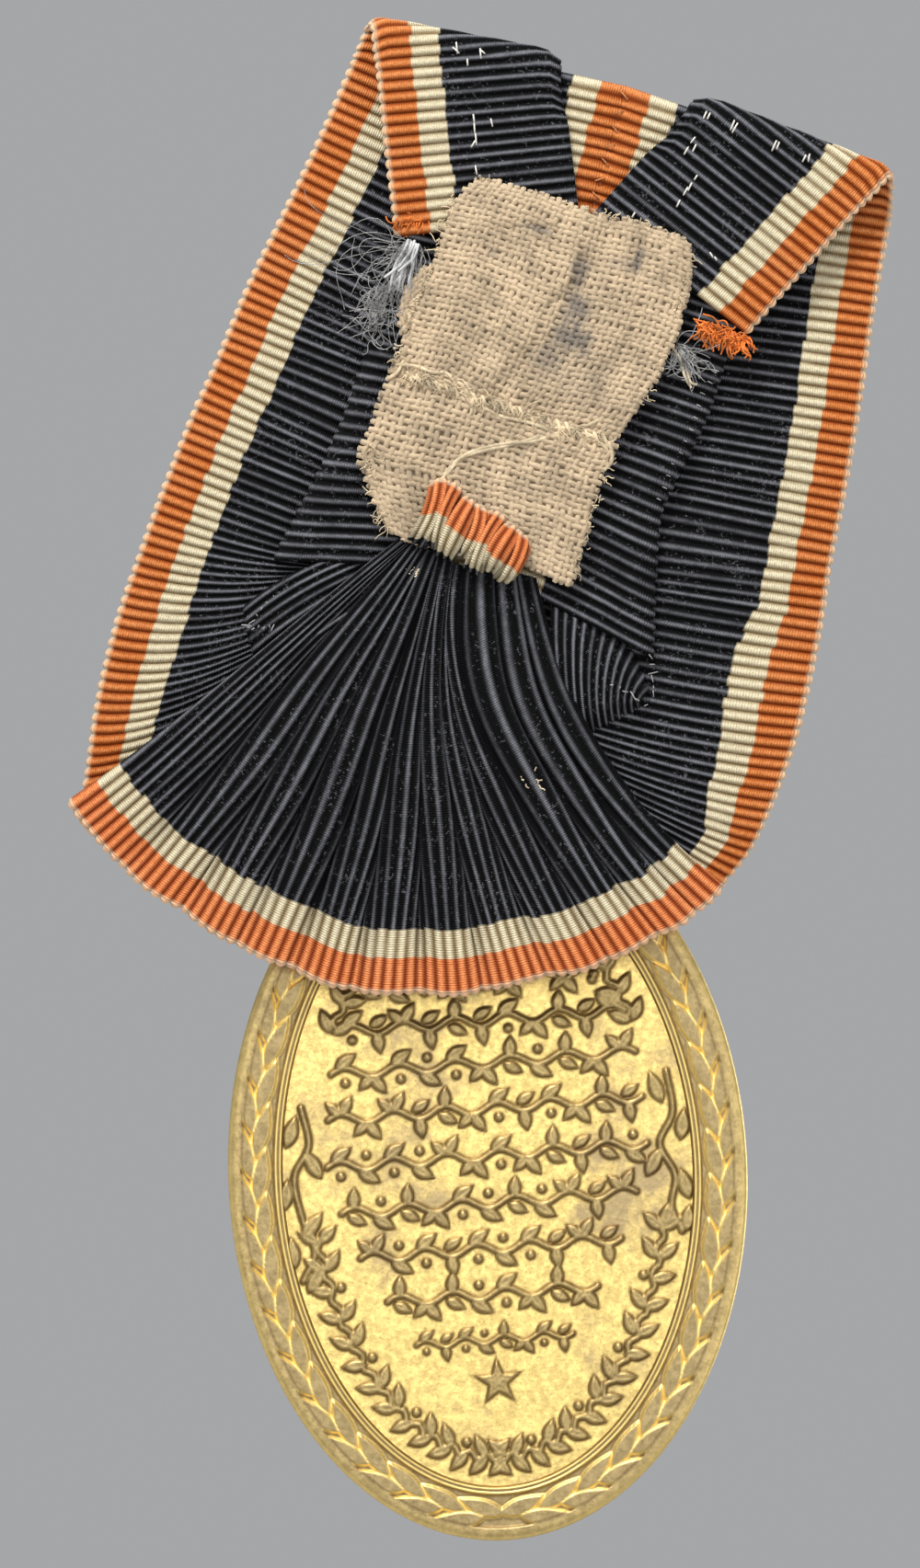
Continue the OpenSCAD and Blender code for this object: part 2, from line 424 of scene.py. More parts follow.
class Paint:
    """A node material under construction."""

    def __init__(self, name, **constants):
        self.material = bpy.data.materials.new(name)
        self.material.use_nodes = True
        self.tree = self.material.node_tree
        self.shader = self.tree.nodes["Principled BSDF"]
        for key, value in constants.items():
            self.shader.inputs[key.replace("_", " ")].default_value = value

    def node(self, kind, inputs=None, **settings):
        n = self.tree.nodes.new("ShaderNode" + kind)
        for key, value in settings.items():
            setattr(n, key, value)
        for key, value in (inputs or {}).items():
            if isinstance(value, bpy.types.NodeSocket):
                self.tree.links.new(value, n.inputs[key])
            else:
                n.inputs[key].default_value = value
        return n

    def math(self, operation, a, b=0.0, c=0.0):
        return self.node("Math", {0: a, 1: b, 2: c}, operation=operation).outputs[0]

    def between(self, value, low, high):
        return self.node("MapRange", {"Value": value, "From Min": low, "From Max": high},
                         interpolation_type="SMOOTHSTEP").outputs["Result"]

    def mix(self, factor, a, b, blend="MIX"):
        n = self.node("Mix", data_type="RGBA", blend_type=blend)
        for socket, value in ((n.inputs[0], factor), (n.inputs[6], a), (n.inputs[7], b)):
            if isinstance(value, bpy.types.NodeSocket):
                self.tree.links.new(value, socket)
            else:
                socket.default_value = value if socket == n.inputs[0] else (*value, 1)
        return n.outputs[2]

    def place(self):
        return self.node("TexCoord").outputs["Object"]

    def noise(self, scale, detail=3.0, rough=0.55, vector=None, stretch=None):
        vector = vector or self.place()
        if stretch:
            vector = self.node("Mapping", {"Vector": vector, "Scale": stretch}).outputs[0]
        return self.node("TexNoise", {"Vector": vector, "Scale": scale, "Detail": detail,
                                      "Roughness": rough}).outputs["Fac"]

    def give(self, socket, value):
        self.tree.links.new(value, self.shader.inputs[socket])

    def bump(self, height, distance, strength=1.0):
        n = self.node("Bump", {"Height": height, "Distance": distance, "Strength": strength})
        self.give("Normal", n.outputs["Normal"])


def ribbon_cloth(name, edge_colour):
    """Ribbed ribbon: stripes by distance from the selvedge, ribs by length, with painted highlight on the rib crests
    and painted shade in the valleys.
    """
    setup = bpy.context.scene.medal_ribbon
    pitch = setup.pitch / MM
    edge, pale = setup.edge_stripe / MM, (setup.edge_stripe + setup.pale_stripe) / MM
    p = Paint(name, Roughness=0.72, Specular_IOR_Level=0.05, Sheen_Weight=0.015,
              Sheen_Roughness=0.4)
    xy = p.node("SeparateXYZ", {0: p.node("UVMap", uv_map="cloth").outputs[0]})
    across, along = xy.outputs[0], xy.outputs[1]
    turns = p.math("DIVIDE", along, pitch)
    rib = p.math("FLOOR", turns)
    phase = p.math("FRACT", turns)
    crest = p.math("SINE", p.math("MULTIPLY", phase, math.pi))
    chance = p.node("TexWhiteNoise", {"W": rib}, noise_dimensions="1D").outputs["Value"]
    wander = p.math("MULTIPLY_ADD", chance, 0.22, across)
    to_pale = p.between(wander, edge + 0.02, edge + 0.20)
    to_black = p.between(wander, pale + 0.04, pale + 0.18)
    # warp threads that cross every rib as a row of fine beads
    offset = p.math("MULTIPLY", chance, 0.14)
    bead = p.math("SINE", p.math("MULTIPLY", p.math("ADD", across, offset), 2 * math.pi / 0.15))
    fibre = p.noise(5200, 3)
    wear = p.noise(330, 4)
    streak = p.noise(900, 3)
    # painted highlight on the rib crests, as a mask that the colours below follow
    sharp = p.math("POWER", crest, 1.5)
    rib_light = p.math("MULTIPLY", sharp, p.math("MULTIPLY_ADD", fibre, 0.9, 0.45))
    rib_light = p.math("MULTIPLY", rib_light, p.math("MULTIPLY_ADD", bead, 0.10, 0.95))
    # painted shade in the rib valleys (deep) and painted highlight on the crests (pale)
    deep = [c * k for c, k in zip(edge_colour, (0.30, 0.19, 0.16))]
    pale = [min(c + d, 1) for c, d in zip(edge_colour, (0.20, 0.16, 0.09))]
    edge_tone = p.mix(p.between(wear, 0.30, 0.72), edge_colour,
                      [c * 0.6 + 0.4 * d for c, d in zip(edge_colour, pale)])
    edge_tone = p.mix(rib_light, deep, edge_tone)
    edge_tone = p.mix(p.math("MULTIPLY", p.math("POWER", rib_light, 3.0), 0.55), edge_tone, pale)
    lace = p.math("SUBTRACT", 1.0, p.between(across, 0.05, 0.34))
    edge_tone = p.mix(p.math("MULTIPLY", lace, 0.5), edge_tone, setup.cream)
    # the pale stripe: painted shade in its rib valleys, its own colour on the crests
    pale_tone = p.mix(rib_light, [c * k for c, k in zip(setup.cream, (0.26, 0.20, 0.13))], setup.cream)
    pale_tone = p.mix(p.math("MULTIPLY", p.between(wear, 0.45, 0.75), 0.35), pale_tone,
                      [c * 0.8 for c in setup.cream])
    cloth = p.mix(to_pale, edge_tone, pale_tone)
    # painted highlight on the crests of the black ribs, uneven along streaks; the valleys are painted near-black as
    # shade
    lift = p.math("MULTIPLY", p.math("POWER", crest, 8.0), p.math("MULTIPLY_ADD", streak, 1.3, 0.20))
    lift = p.math("MULTIPLY", lift, p.math("MULTIPLY_ADD", chance, 0.7, 0.6))
    lift = p.math("MULTIPLY", lift, p.math("MULTIPLY_ADD", fibre, 1.0, 0.45))
    dark = p.mix(lift, [c * 0.022 for c in setup.black], setup.black)
    fuzz = p.between(p.math("MULTIPLY", p.noise(4200, 2, 0.7),
                            p.math("MULTIPLY_ADD", p.noise(500, 2), 0.6, 0.70)), 0.60, 0.72)
    dark = p.mix(p.math("MULTIPLY", fuzz, 0.30), dark, (0.26, 0.26, 0.29))
    cloth = p.mix(to_black, cloth, dark)
    # painted shade: the cloth is darkened towards near-black in the valleys of its pleats and gathers, as that
    # attribute gives
    fold_shade = p.node("Attribute", attribute_name="fold_shade").outputs["Fac"]
    p.give("Base Color", p.mix(p.math("MULTIPLY", fold_shade, 0.93), cloth, (0.003, 0.003, 0.004)))
    height = p.math("MULTIPLY_ADD", bead, 0.35, p.math("MULTIPLY", fibre, 0.9))
    p.bump(height, 0.00007, 0.9)
    return p.material


def thread_material(name, colour, light=1.35, rough=0.8):
    p = Paint(name, Roughness=rough, Specular_IOR_Level=0.12, Sheen_Weight=0.08)
    tone = p.noise(900, 3)
    p.give("Base Color", p.mix(p.between(tone, 0.3, 0.7), [c * 0.7 for c in colour],
                               [min(c * light, 1) for c in colour]))
    p.bump(p.noise(7000, 2), 0.00004, 0.8)
    return p.material


def material(name, maker, *args):
    """The finish of that name, made once."""
    return bpy.data.materials.get(name) or maker(name, *args)


def leg_cloth():
    return material("ribbon_cloth", ribbon_cloth, tuple(bpy.context.scene.medal_ribbon.orange))


def fan_cloth():
    return material("fan_cloth", ribbon_cloth, tuple(bpy.context.scene.medal_ribbon.salmon))


# ------------------------------------------------------------------ ribbon

def ribs_between(edge, middle, inner):
    """A place along curved ribs: edge, middle and inner hold one point for each row,
    and t runs from 0 at the edge to 1 at the inner end."""
    def at(t):
        t = t[..., None]
        return ((1 - t) ** 2 * edge[:, None] + 2 * t * (1 - t) * middle[:, None]
                + t * t * inner[:, None])
    return at


def turn_over(u, z, y, through, angle, radius):
    """Folds what lies above a line over to the back, round a radius."""
    normal = np.array([-math.sin(angle), math.cos(angle)])
    above = (u - through[0]) * normal[0] + (z - through[1]) * normal[1]
    bend = np.clip(above / radius, 0, math.pi)
    flat = np.where(above <= 0, above,
                    np.where(above < math.pi * radius, radius * np.sin(bend),
                             math.pi * radius - above))
    move = flat - above
    return (u + move * normal[0], z + move * normal[1], y + radius * (1 - np.cos(bend)))


RIGHT_EDGE = Line([(14.7, 29), (16.0, 22), (17.45, 14.2), (17.9, 12), (18.2, 9), (18.6, 5), (19, 2),
                   (19.5, -2), (20, -7), (20.3, -11), (20.8, -15), (21.1, -19), (21.2, -22),
                   (21.05, -25), (20.75, -27.5), (20.3, -29.8), (19.6, -31.6), (18.6, -33.4)])
LEFT_EDGE = Line([(-14.4, 29), (-15.8, 22), (-17.15, 14.2), (-17.5, 11), (-18.2, 6), (-18.9, 2), (-20, -4),
                  (-20.6, -9), (-21.2, -13), (-21.7, -18), (-22, -22), (-22.25, -26),
                  (-22.2, -30), (-21.95, -33), (-21.6, -35.6), (-21.3, -38.0), (-21.2, -39.4)])


def leg_place(line, side, inner_ends):
    """The outer panel of a leg and its flap, before the flap is turned over."""
    def place(S, W):
        s = S[:, 0]
        edge = line.at(s)
        inner = edge + line.inward(s, side) * 14.2
        keys = np.array([k for k, _, _ in inner_ends])
        blend = soft(-edge[:, 1], -keys[0], -keys[1])[:, None]
        target = np.stack([np.interp(-edge[:, 1], -keys, [p[c] for _, p, _ in inner_ends])
                           for c in (0, 1)], -1)
        control = np.stack([np.interp(-edge[:, 1], -keys, [p[c] for _, _, p in inner_ends])
                            for c in (0, 1)], -1)
        middle = (1 - blend) * (edge + inner) / 2 + blend * control
        inner = (1 - blend) * inner + blend * target
        at = ribs_between(edge, middle, inner)(W / 14.2)
        u, z = at[..., 0], at[..., 1]
        y = LEG_Y + 0.10 * wave((S, 0.23, side), (W, 0.5, 2.0)) * soft(W, 0, 5)
        return u, z, y + 0.05 * wave((S, 0.9, 0.3))
    return place


def nearest_row(line, z_top, pitch):
    s = line.s[np.argmin(np.abs(line.p[:, 1] - z_top))]
    return int(round(s / pitch))


class MEDAL_OT_legs(bpy.types.Operator):
    """Make the two legs of the ribbon and the flaps turned over at the top"""
    bl_idname = "medal.legs"
    bl_label = "Ribbon legs"

    def execute(self, context):
        pitch = context.scene.medal_ribbon.pitch / MM
        cloth = leg_cloth()
        right = leg_place(RIGHT_EDGE, 1, [
            (-13, (3.0, -15.0), (11.8, -14.2)), (-18, (2.6, -19.4), (12.4, -19.4)),
            (-21, (3.2, -22.2), (12.6, -22.6)), (-24, (4.2, -24.8), (13.4, -25.4)),
            (-27, (4.8, -26.2), (14.0, -28.0)), (-29.5, (5.2, -27.0), (15.6, -29.8)),
            (-31.5, (5.6, -27.8), (15.4, -30.7)), (-34, (6.4, -28.8), (14.8, -31.8))])
        left = leg_place(LEFT_EDGE, -1, [
            (-16, (-7.8, -16.8), (-14.8, -16.9)), (-24, (-7.6, -18.6), (-14.6, -24.0)),
            (-30, (-7.6, -19.5), (-15.0, -29.6)), (-33, (-8.2, -20.5), (-15.4, -32.0)),
            (-35.5, (-8.6, -21.5), (-15.6, -34.0)), (-39.4, (-9.0, -22.5), (-15.8, -35.2))])
        pieces = []
        for name, place, line, through, angle, lean, top, cut, width in (
                ("right", right, RIGHT_EDGE, (16.6, 13.15), -0.098, -0.085, 12.4, 12.6, 12.7),
                ("left", left, LEFT_EDGE, (-16.3, 13.5), 0.088, 0.02, 12.8, 13.1, 11.7)):
            join = nearest_row(line, top, pitch)
            fold_s = line.s[np.argmin(np.abs(line.p[:, 1] - through[1]))]
            first = int(round((fold_s - cut - 2.9) / pitch))

            def folded(S, W, place=place, through=through, angle=angle, lean=lean, width=width):
                u, z, y = place(S, W)
                flat_z = z
                u, z, y = turn_over(u, z, y, through, angle, (FLAP_Y - LEG_Y) / 2)
                down = np.where(flat_z > through[1] + 1.5, np.maximum(through[1] - z, 0), 0)
                u = u + lean * down
                below = np.maximum(through[1] - 0.4 - z, 0)
                near_top = bell(below, 0, 1.2) * (flat_z > through[1] - 2.2)
                z = z - 0.55 * near_top * np.maximum(1 - (width - np.minimum(W, width)) / 1.4, 0) ** 2
                z = z - 0.35 * near_top * np.maximum(1 - W / 0.9, 0) ** 2
                y = y + 0.10 * wave((S, 0.8, 1.0), (W, 0.6, 0.5)) * soft(down, 1, 4)
                y = y - 0.35 * soft(down, 9.5, 13)
                return u, z, y

            last = int(line.length / pitch)
            leg = ribbon_piece(name + "_leg", rib_rows(join, last, pitch), columns(14.2), folded, cloth)
            flap = ribbon_piece(name + "_flap", rib_rows(first, join, pitch), columns(width), folded, cloth)
            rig.replaces(leg, name + "_leg")
            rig.replaces(flap, name + "_flap")
            pieces += [(leg, (0.0142, (last - join) * pitch * MM)),
                       (flap, (width * MM, (join - first) * pitch * MM))]
        for obj, flat in pieces:
            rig.slot(obj, "rep_ribbon")
            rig.sheet(obj, flat=flat, held="folded")
        return {"FINISHED"}


def flat_cut(rows, cols, place):
    """Flat size and area of a run of ribbon: each rib's own length, at the woven pitch."""
    S, W = np.meshgrid(rows, cols, indexing="ij")
    rib = np.linalg.norm(np.diff(model(*place(S, W)[:3]), axis=1), axis=-1).sum(1)
    area = np.sum((rib[1:] + rib[:-1]) / 2 * np.diff(rows))
    size = max(rib.max() * MM, 0.01), max((rows[-1] - rows[0]) * MM, 0.01)
    return dict(flat=size, area=float(area * MM * MM))


def fold_over_edge(q, length, radius):
    """A distance across cloth that rolls under at length: sideways reach and drop."""
    start = length - radius
    theta = np.clip((q - start) / radius, 0, math.pi)
    reach = np.where(q <= start, q, start + radius * np.sin(theta))
    reach = np.where(q > start + math.pi * radius, 2 * start + math.pi * radius - q, reach)
    return reach, radius * (1 - np.cos(theta))


class MEDAL_OT_inner_folds(bpy.types.Operator):
    """Make the two inner panels, sewn edge to edge, and the dog-ears at their feet"""
    bl_idname = "medal.inner_folds"
    bl_label = "Inner folds"

    def execute(self, context):
        pitch = context.scene.medal_ribbon.pitch / MM
        cloth = leg_cloth()
        folds = {
            "right": (1, -0.25, Line([(9.2, 16), (9.4, 12), (9.6, 8), (10.2, 3), (10.25, -1), (9.9, -5),
                                      (9.0, -9.5), (9.7, -13), (10.4, -15.6), (11.0, -17.8)])),
            "left": (-1, -0.35,
                     Line([(-9.8, 16), (-10.2, 12), (-10.8, 8), (-11.5, 3), (-11.6, -1), (-11.55, -6),
                                      (-11.9, -10), (-12.8, -14), (-13.6, -17.5)])),
        }
        for name, (side, seam, edge) in folds.items():
            def place(S, W, side=side, seam=seam, edge=edge):
                z0 = 14.6 - S + 0.08 * np.sin(S * 4.4) * np.exp(-W / 1.2)
                order = np.argsort(edge.p[:, 1])
                far = np.interp(z0, edge.p[order, 1], edge.p[order, 0])
                length = np.abs(far - seam)
                reach, drop = fold_over_edge(W, length, 0.46)
                droop = 0.055 + 0.10 * soft(-z0, 4, 16)
                u = seam + side * reach
                z = z0 - droop * reach - 0.004 * reach**2 * soft(-z0, 4, 16)
                near = np.exp(-((reach - length + 1.1) / 1.0) ** 2)
                y = INNER_Y + 0.26 * near - drop
                y = y + 0.13 * wave((reach, 1.5, side + 0.4), (S, 0.21, 2.2)) * soft(reach, 1.5, 4)
                y = y - 0.22 * np.exp(-reach / 0.45) + 0.05 * np.sin(S * 4.4) * np.exp(-reach / 1.0)
                y = y - 0.6 * soft(z0, 13.7, 14.8) ** 2
                return u, z, y

            rows = rib_rows(0, int(32.2 / pitch), pitch)
            w = columns(14.6, 0.42)
            obj = ribbon_piece(name + "_inner_fold", rows, w, place, cloth, edge_at=-0.62)
            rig.replaces(obj, name + "_inner_fold")
            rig.slot(obj, "rep_ribbon")
            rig.sheet(obj, flat=(0.0146, 0.0322), held="folded")
        ears = {
            "right": (Line([(3.6, -16.9), (6.0, -17.9), (8.9, -19.3), (10.8, -21.2), (11.3, -22.1)]),
                      Line([(4.7, -21.6), (7.6, -22.0), (9.8, -22.3), (11.1, -22.5)]),
                      Line([(7.2, -26.6), (8.6, -25.2), (10.0, -23.9), (11.1, -22.8)]), 12),
            "left": (Line([(-6.2, -20.4), (-7.0, -18.9), (-8.2, -17.7)]),
                     Line([(-9.4, -23.6), (-11.0, -21.9), (-12.7, -20.4)]),
                     Line([(-12.0, -27.9), (-13.6, -25.9), (-14.7, -23.6)]), 8),
        }
        for name, (upper, crease, lower, ribs) in ears.items():
            def place(S, W, a=upper, b=crease, c=lower, ribs=ribs):
                t = np.clip(S[:, 0] / (ribs * pitch), 0, 1)
                v = W / 10.0
                at = ribs_between(a.at(t * a.length), b.at(t * b.length), c.at(t * c.length))(v)
                swell = np.sin(np.pi * np.clip(v, 0, 1)) ** 0.7
                y = (INNER_Y - 0.42 + (0.75 - 0.35 * t[:, None]) * swell
                     - 0.55 * (1 - np.sin(np.pi * np.clip(v, 0, 1))) ** 2)
                return at[..., 0], at[..., 1], y + 0.06 * wave((W, 1.1, 0.5), (S, 0.8, 0.2))

            rows, cols = rib_rows(0, ribs, pitch), np.linspace(0, 10, 30)
            obj = ribbon_piece(name + "_dog_ear", rows, cols, place, cloth, edge_at=-12.0)
            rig.slot(obj, "rep_ribbon")
            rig.sheet(obj, held="folded", **flat_cut(rows, cols, place))
        return {"FINISHED"}


# Valleys between the pleats of the fan, in degrees at its outer edge, how far
# each pleat stands up, and how far its crest leans to one side
PLEATS = [-40, -29, -19.5, -11, -3.5, 5, 13.5, 22, 30.5, 38.5, 45.5, 51.5, 57.5]
PLEAT_RISE = [0.62, 0.95, 1.0, 1.15, 0.85, 1.1, 1.15, 0.9, 1.0, 1.25, 1.1, 0.95]
PLEAT_LEAN = [0.62, 1.35, 0.8, 1.3, 1.0, 0.8, 1.25, 0.8, 1.3, 0.75, 1.2, 0.85]


def fan_place(S, W):
    """Pleated fan: S runs along the outer edge, W in to the throat from 0 to 100."""
    under = np.maximum(-S, 0)
    a = np.where(S < 0, FAN_LEFT + np.degrees(under * 0.86 / FAN_R), FAN_LEFT + np.degrees(S / FAN_R))
    v = W / 100.0
    index = np.clip(np.searchsorted(PLEATS, a[:, 0], side="right") - 1, 0, len(PLEATS) - 2)
    low, high = np.array(PLEATS)[index][:, None], np.array(PLEATS)[index + 1][:, None]
    rise, skew = np.array(PLEAT_RISE)[index][:, None], np.array(PLEAT_LEAN)[index][:, None]
    f = np.clip((a - low) / (high - low), 0, 1)
    deep = soft(v, 0.02, 0.55)
    squeeze = (0.25 + 2.3 * deep) * np.where(index[:, None] == 0, 0.5, 1)
    g = 0.5 + 0.5 * np.tanh(squeeze * (2 * f - 1)) / np.tanh(squeeze)
    bent = low + (high - low) * g
    bent = bent + (1.5 * wave((a, 0.13, 0.8), (v, 5.0, 1.4)) * np.sin(np.pi * v)
                   * soft(a, -38, -26) * (1 - soft(a, 50, 57)))
    crest = np.sin(np.pi * f**skew) ** 0.75
    r = np.radians(bent)
    edge_wave = 0.16 * np.sin(r * 9 + 0.6) + 0.10 * np.sin(r * 23) + 0.22 * crest - 0.1
    ox = FAN_CENTRE[0] + (FAN_R + edge_wave) * np.sin(r)
    oz = FAN_CENTRE[1] - (FAN_R + edge_wave) * np.cos(r)
    tx = np.interp(bent, [-40, -30, -20, 0, 20, 36, 42, 48, 57.5],
                   [-6.2, -5.6, -4.9, -3.8, -3.1, -2.5, -1.2, 0.5, 2.4])
    tz = -17.2 - 0.25 * np.cos((tx + 2) * 0.9)
    turn = np.interp(bent, [-40, 0, 20, 38, 48, 57.5], [-40, 0, 24, 46, 58, 68])
    k1 = np.interp(bent, [-40, 10, 38, 57.5], [9, 9, 12, 11.3])
    cx, cz = ox - k1 * np.sin(np.radians(turn)), oz + k1 * np.cos(np.radians(turn))
    lean = np.interp(bent, [-40, 0, 20, 38, 47, 57.5], [-37, 0, 3, 5, 17, 30])
    k2 = 8.0
    dx, dz = tx + k2 * np.sin(np.radians(lean)), tz - k2 * np.cos(np.radians(lean))
    b0, b1, b2, b3 = (1 - v) ** 3, 3 * v * (1 - v) ** 2, 3 * v * v * (1 - v), v**3
    u = b0 * ox + b1 * cx + b2 * dx + b3 * tx
    z = b0 * oz + b1 * cz + b2 * dz + b3 * tz
    height = (0.20 + 1.05 * deep**0.8) * rise * (1 - 0.30 * soft(v, 0.75, 1))
    y = -2.15 + 0.30 * (1 - soft(v, 0, 0.3)) + 0.62 * soft(v, 0.72, 1.0) + height * crest
    y = y + 0.06 * wave((S, 0.7, 0.4), (W, 0.09, 1.1))
    # the left edge is a fold that lies over the leg
    y = np.where(S < 0, y - 0.75 * soft(under, 0, 0.6),
                 y + (0.55 - 0.10 * v) * np.exp(-S / 2.2) - 0.35 * np.exp(-S / 0.3))
    # painted shade: the valleys between the pleats, wider on one side, and the cloth near the throat where it runs
    # under the gather
    side = np.where(index[:, None] == 0, 0, np.exp(-(g / 0.26) ** 2)) + np.exp(-((1 - g) / 0.17) ** 2)
    fold_shade = np.clip(side, 0, 1) * soft(v, -0.04, 0.34)
    fold_shade = np.maximum(fold_shade, 0.55 * soft(v, 0.9, 1.0))
    return u, z, np.clip(y, -3.0, -0.50), fold_shade


def gather_place(S, W):
    """The gathered inner selvedge, W from 0 at its free upper edge to 100."""
    t = np.clip(S[:, :1] / (26 * 0.7), 0, 1)
    v = W / 100.0
    cell = t * 7
    f = cell % 1.0
    bent = (np.floor(cell) + f - 0.55 * np.sin(2 * np.pi * f) / (2 * np.pi)) / 7
    upper = Line([(-5.35, -13.35), (-4.7, -12.95), (-3.4, -13.25), (-1.9, -13.9), (-0.4, -14.3),
                  (1.0, -14.65), (1.65, -15.15)])
    lower = Line([(-5.75, -16.75), (-4.8, -16.9), (-3.2, -16.95), (-1.5, -17.25), (-0.2, -17.5), (0.6, -17.5),
                  (0.9, -17.2)])
    a = upper.at(bent[:, 0] * upper.length)[:, None]
    b = lower.at(bent[:, 0] * lower.length)[:, None]
    vv = v[..., None]
    at = (1 - vv) * a + vv * b
    swell = np.sin(np.pi * np.clip(v * 0.85 + 0.1, 0, 1))
    crest = np.sin(np.pi * f) ** 0.7
    y = -0.12 + 0.36 * swell + 0.62 * crest * (0.6 + 0.4 * swell) - 0.55 * soft(v, 0.8, 1)
    wob = 0.30 * np.sin(cell * 2.1 + 0.7) * v * (1 - v) * 4 + 0.25 * (v - 0.5) * np.sin(np.floor(cell) * 2.4)
    drop = 0.20 * np.sin(np.floor(cell) * 1.9 + 0.5) * (1 - v) + 0.30 * np.sin(np.floor(cell) * 2.7) * v
    # the fourth value is painted shade between the gathers' crests
    return at[..., 0] + wob, at[..., 1] + 0.26 * crest * (1 - v) + drop, y, (1 - crest) * 0.75


class MEDAL_OT_fan(bpy.types.Operator):
    """Make the pleated fan at the foot of the ribbon and its gathered selvedge"""
    bl_idname = "medal.fan"
    bl_label = "Ribbon fan"

    def execute(self, context):
        pitch = context.scene.medal_ribbon.pitch / MM
        arc = math.radians(FAN_RIGHT - FAN_LEFT) * FAN_R
        rows = rib_rows(-4, int(arc / pitch) + 1, pitch)
        rows = rows[rows <= arc]
        v = np.r_[0, 0.3, 0.9, 2, np.linspace(3.4, 100, 62)]
        # stripes follow the true length in from the selvedge
        fan = ribbon_piece("ribbon_fan", rows, v, fan_place, fan_cloth())
        restripe(fan, rows, v, fan_place)
        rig.replaces(fan, "ribbon_fan")
        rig.slot(fan, "rep_ribbon")
        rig.sheet(fan, held="gathered", **flat_cut(rows, v, fan_place))
        rows = rib_rows(0, 26, pitch)
        v = np.r_[0, 2, 5, np.linspace(10, 100, 18)]
        gather = ribbon_piece("ribbon_gather", rows, v, gather_place, fan_cloth())
        restripe(gather, rows, v, gather_place, 1.02)
        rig.replaces(gather, "ribbon_gather")
        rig.slot(gather, "rep_ribbon")
        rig.sheet(gather, held="gathered", **flat_cut(rows, v, gather_place))
        return {"FINISHED"}


def restripe(obj, rows, cols, place, scale=1.0):
    """Writes the real distance from the selvedge into the cloth's map."""
    S, W = np.meshgrid(rows, cols, indexing="ij")
    points = model(*place(S, W)[:3])
    step = np.linalg.norm(np.diff(points, axis=1), axis=-1)
    across = np.concatenate([np.zeros((len(rows), 1)), np.cumsum(step, axis=1)], axis=1) * scale
    uv = np.stack([across, S], -1).reshape(-1, 2)
    uv = np.concatenate([uv, uv])
    index = np.empty(len(obj.data.loops), np.int32)
    obj.data.loops.foreach_get("vertex_index", index)
    obj.data.uv_layers["cloth"].data.foreach_set("uv", uv[index].astype(np.float32).ravel())


# ------------------------------------------------------- threads and frays

def sweep_tree():
    """Geometry nodes that sweep a round thread along every line of edges."""
    tree = bpy.data.node_groups.get("thread_sweep")
    if tree:
        return tree
    tree = bpy.data.node_groups.new("thread_sweep", "GeometryNodeTree")
    face = tree.interface
    face.new_socket(name="Lines", in_out="INPUT", socket_type="NodeSocketGeometry")
    face.new_socket(name="Radius", in_out="INPUT", socket_type="NodeSocketFloat")
    face.new_socket(name="Sides", in_out="INPUT", socket_type="NodeSocketInt")
    face.new_socket(name="Finish", in_out="INPUT", socket_type="NodeSocketMaterial")
    face.new_socket(name="Threads", in_out="OUTPUT", socket_type="NodeSocketGeometry")
    add, link = tree.nodes.new, tree.links.new
    source, sink = add("NodeGroupInput"), add("NodeGroupOutput")
    lines, girth = add("GeometryNodeMeshToCurve"), add("GeometryNodeInputNamedAttribute")
    width = add("GeometryNodeSetCurveRadius")
    girth.data_type = "FLOAT"
    girth.inputs["Name"].default_value = "girth"
    ring, sweep = add("GeometryNodeCurvePrimitiveCircle"), add("GeometryNodeCurveToMesh")
    sweep.inputs["Fill Caps"].default_value = True
    smooth, solid = add("GeometryNodeSetShadeSmooth"), add("GeometryNodeRealizeInstances")
    paint = add("GeometryNodeSetMaterial")
    link(source.outputs["Lines"], lines.inputs["Mesh"])
    link(lines.outputs["Curve"], width.inputs["Curve"])
    link(girth.outputs["Attribute"], width.inputs["Radius"])
    link(source.outputs["Radius"], ring.inputs["Radius"])
    link(source.outputs["Sides"], ring.inputs["Resolution"])
    link(width.outputs["Curve"], sweep.inputs["Curve"])
    link(ring.outputs["Curve"], sweep.inputs["Profile Curve"])
    link(sweep.outputs["Mesh"], smooth.inputs["Geometry"])
    link(smooth.outputs["Geometry"], solid.inputs["Geometry"])
    link(solid.outputs["Geometry"], paint.inputs["Geometry"])
    link(source.outputs["Finish"], paint.inputs["Material"])
    link(paint.outputs["Geometry"], sink.inputs["Threads"])
    return tree


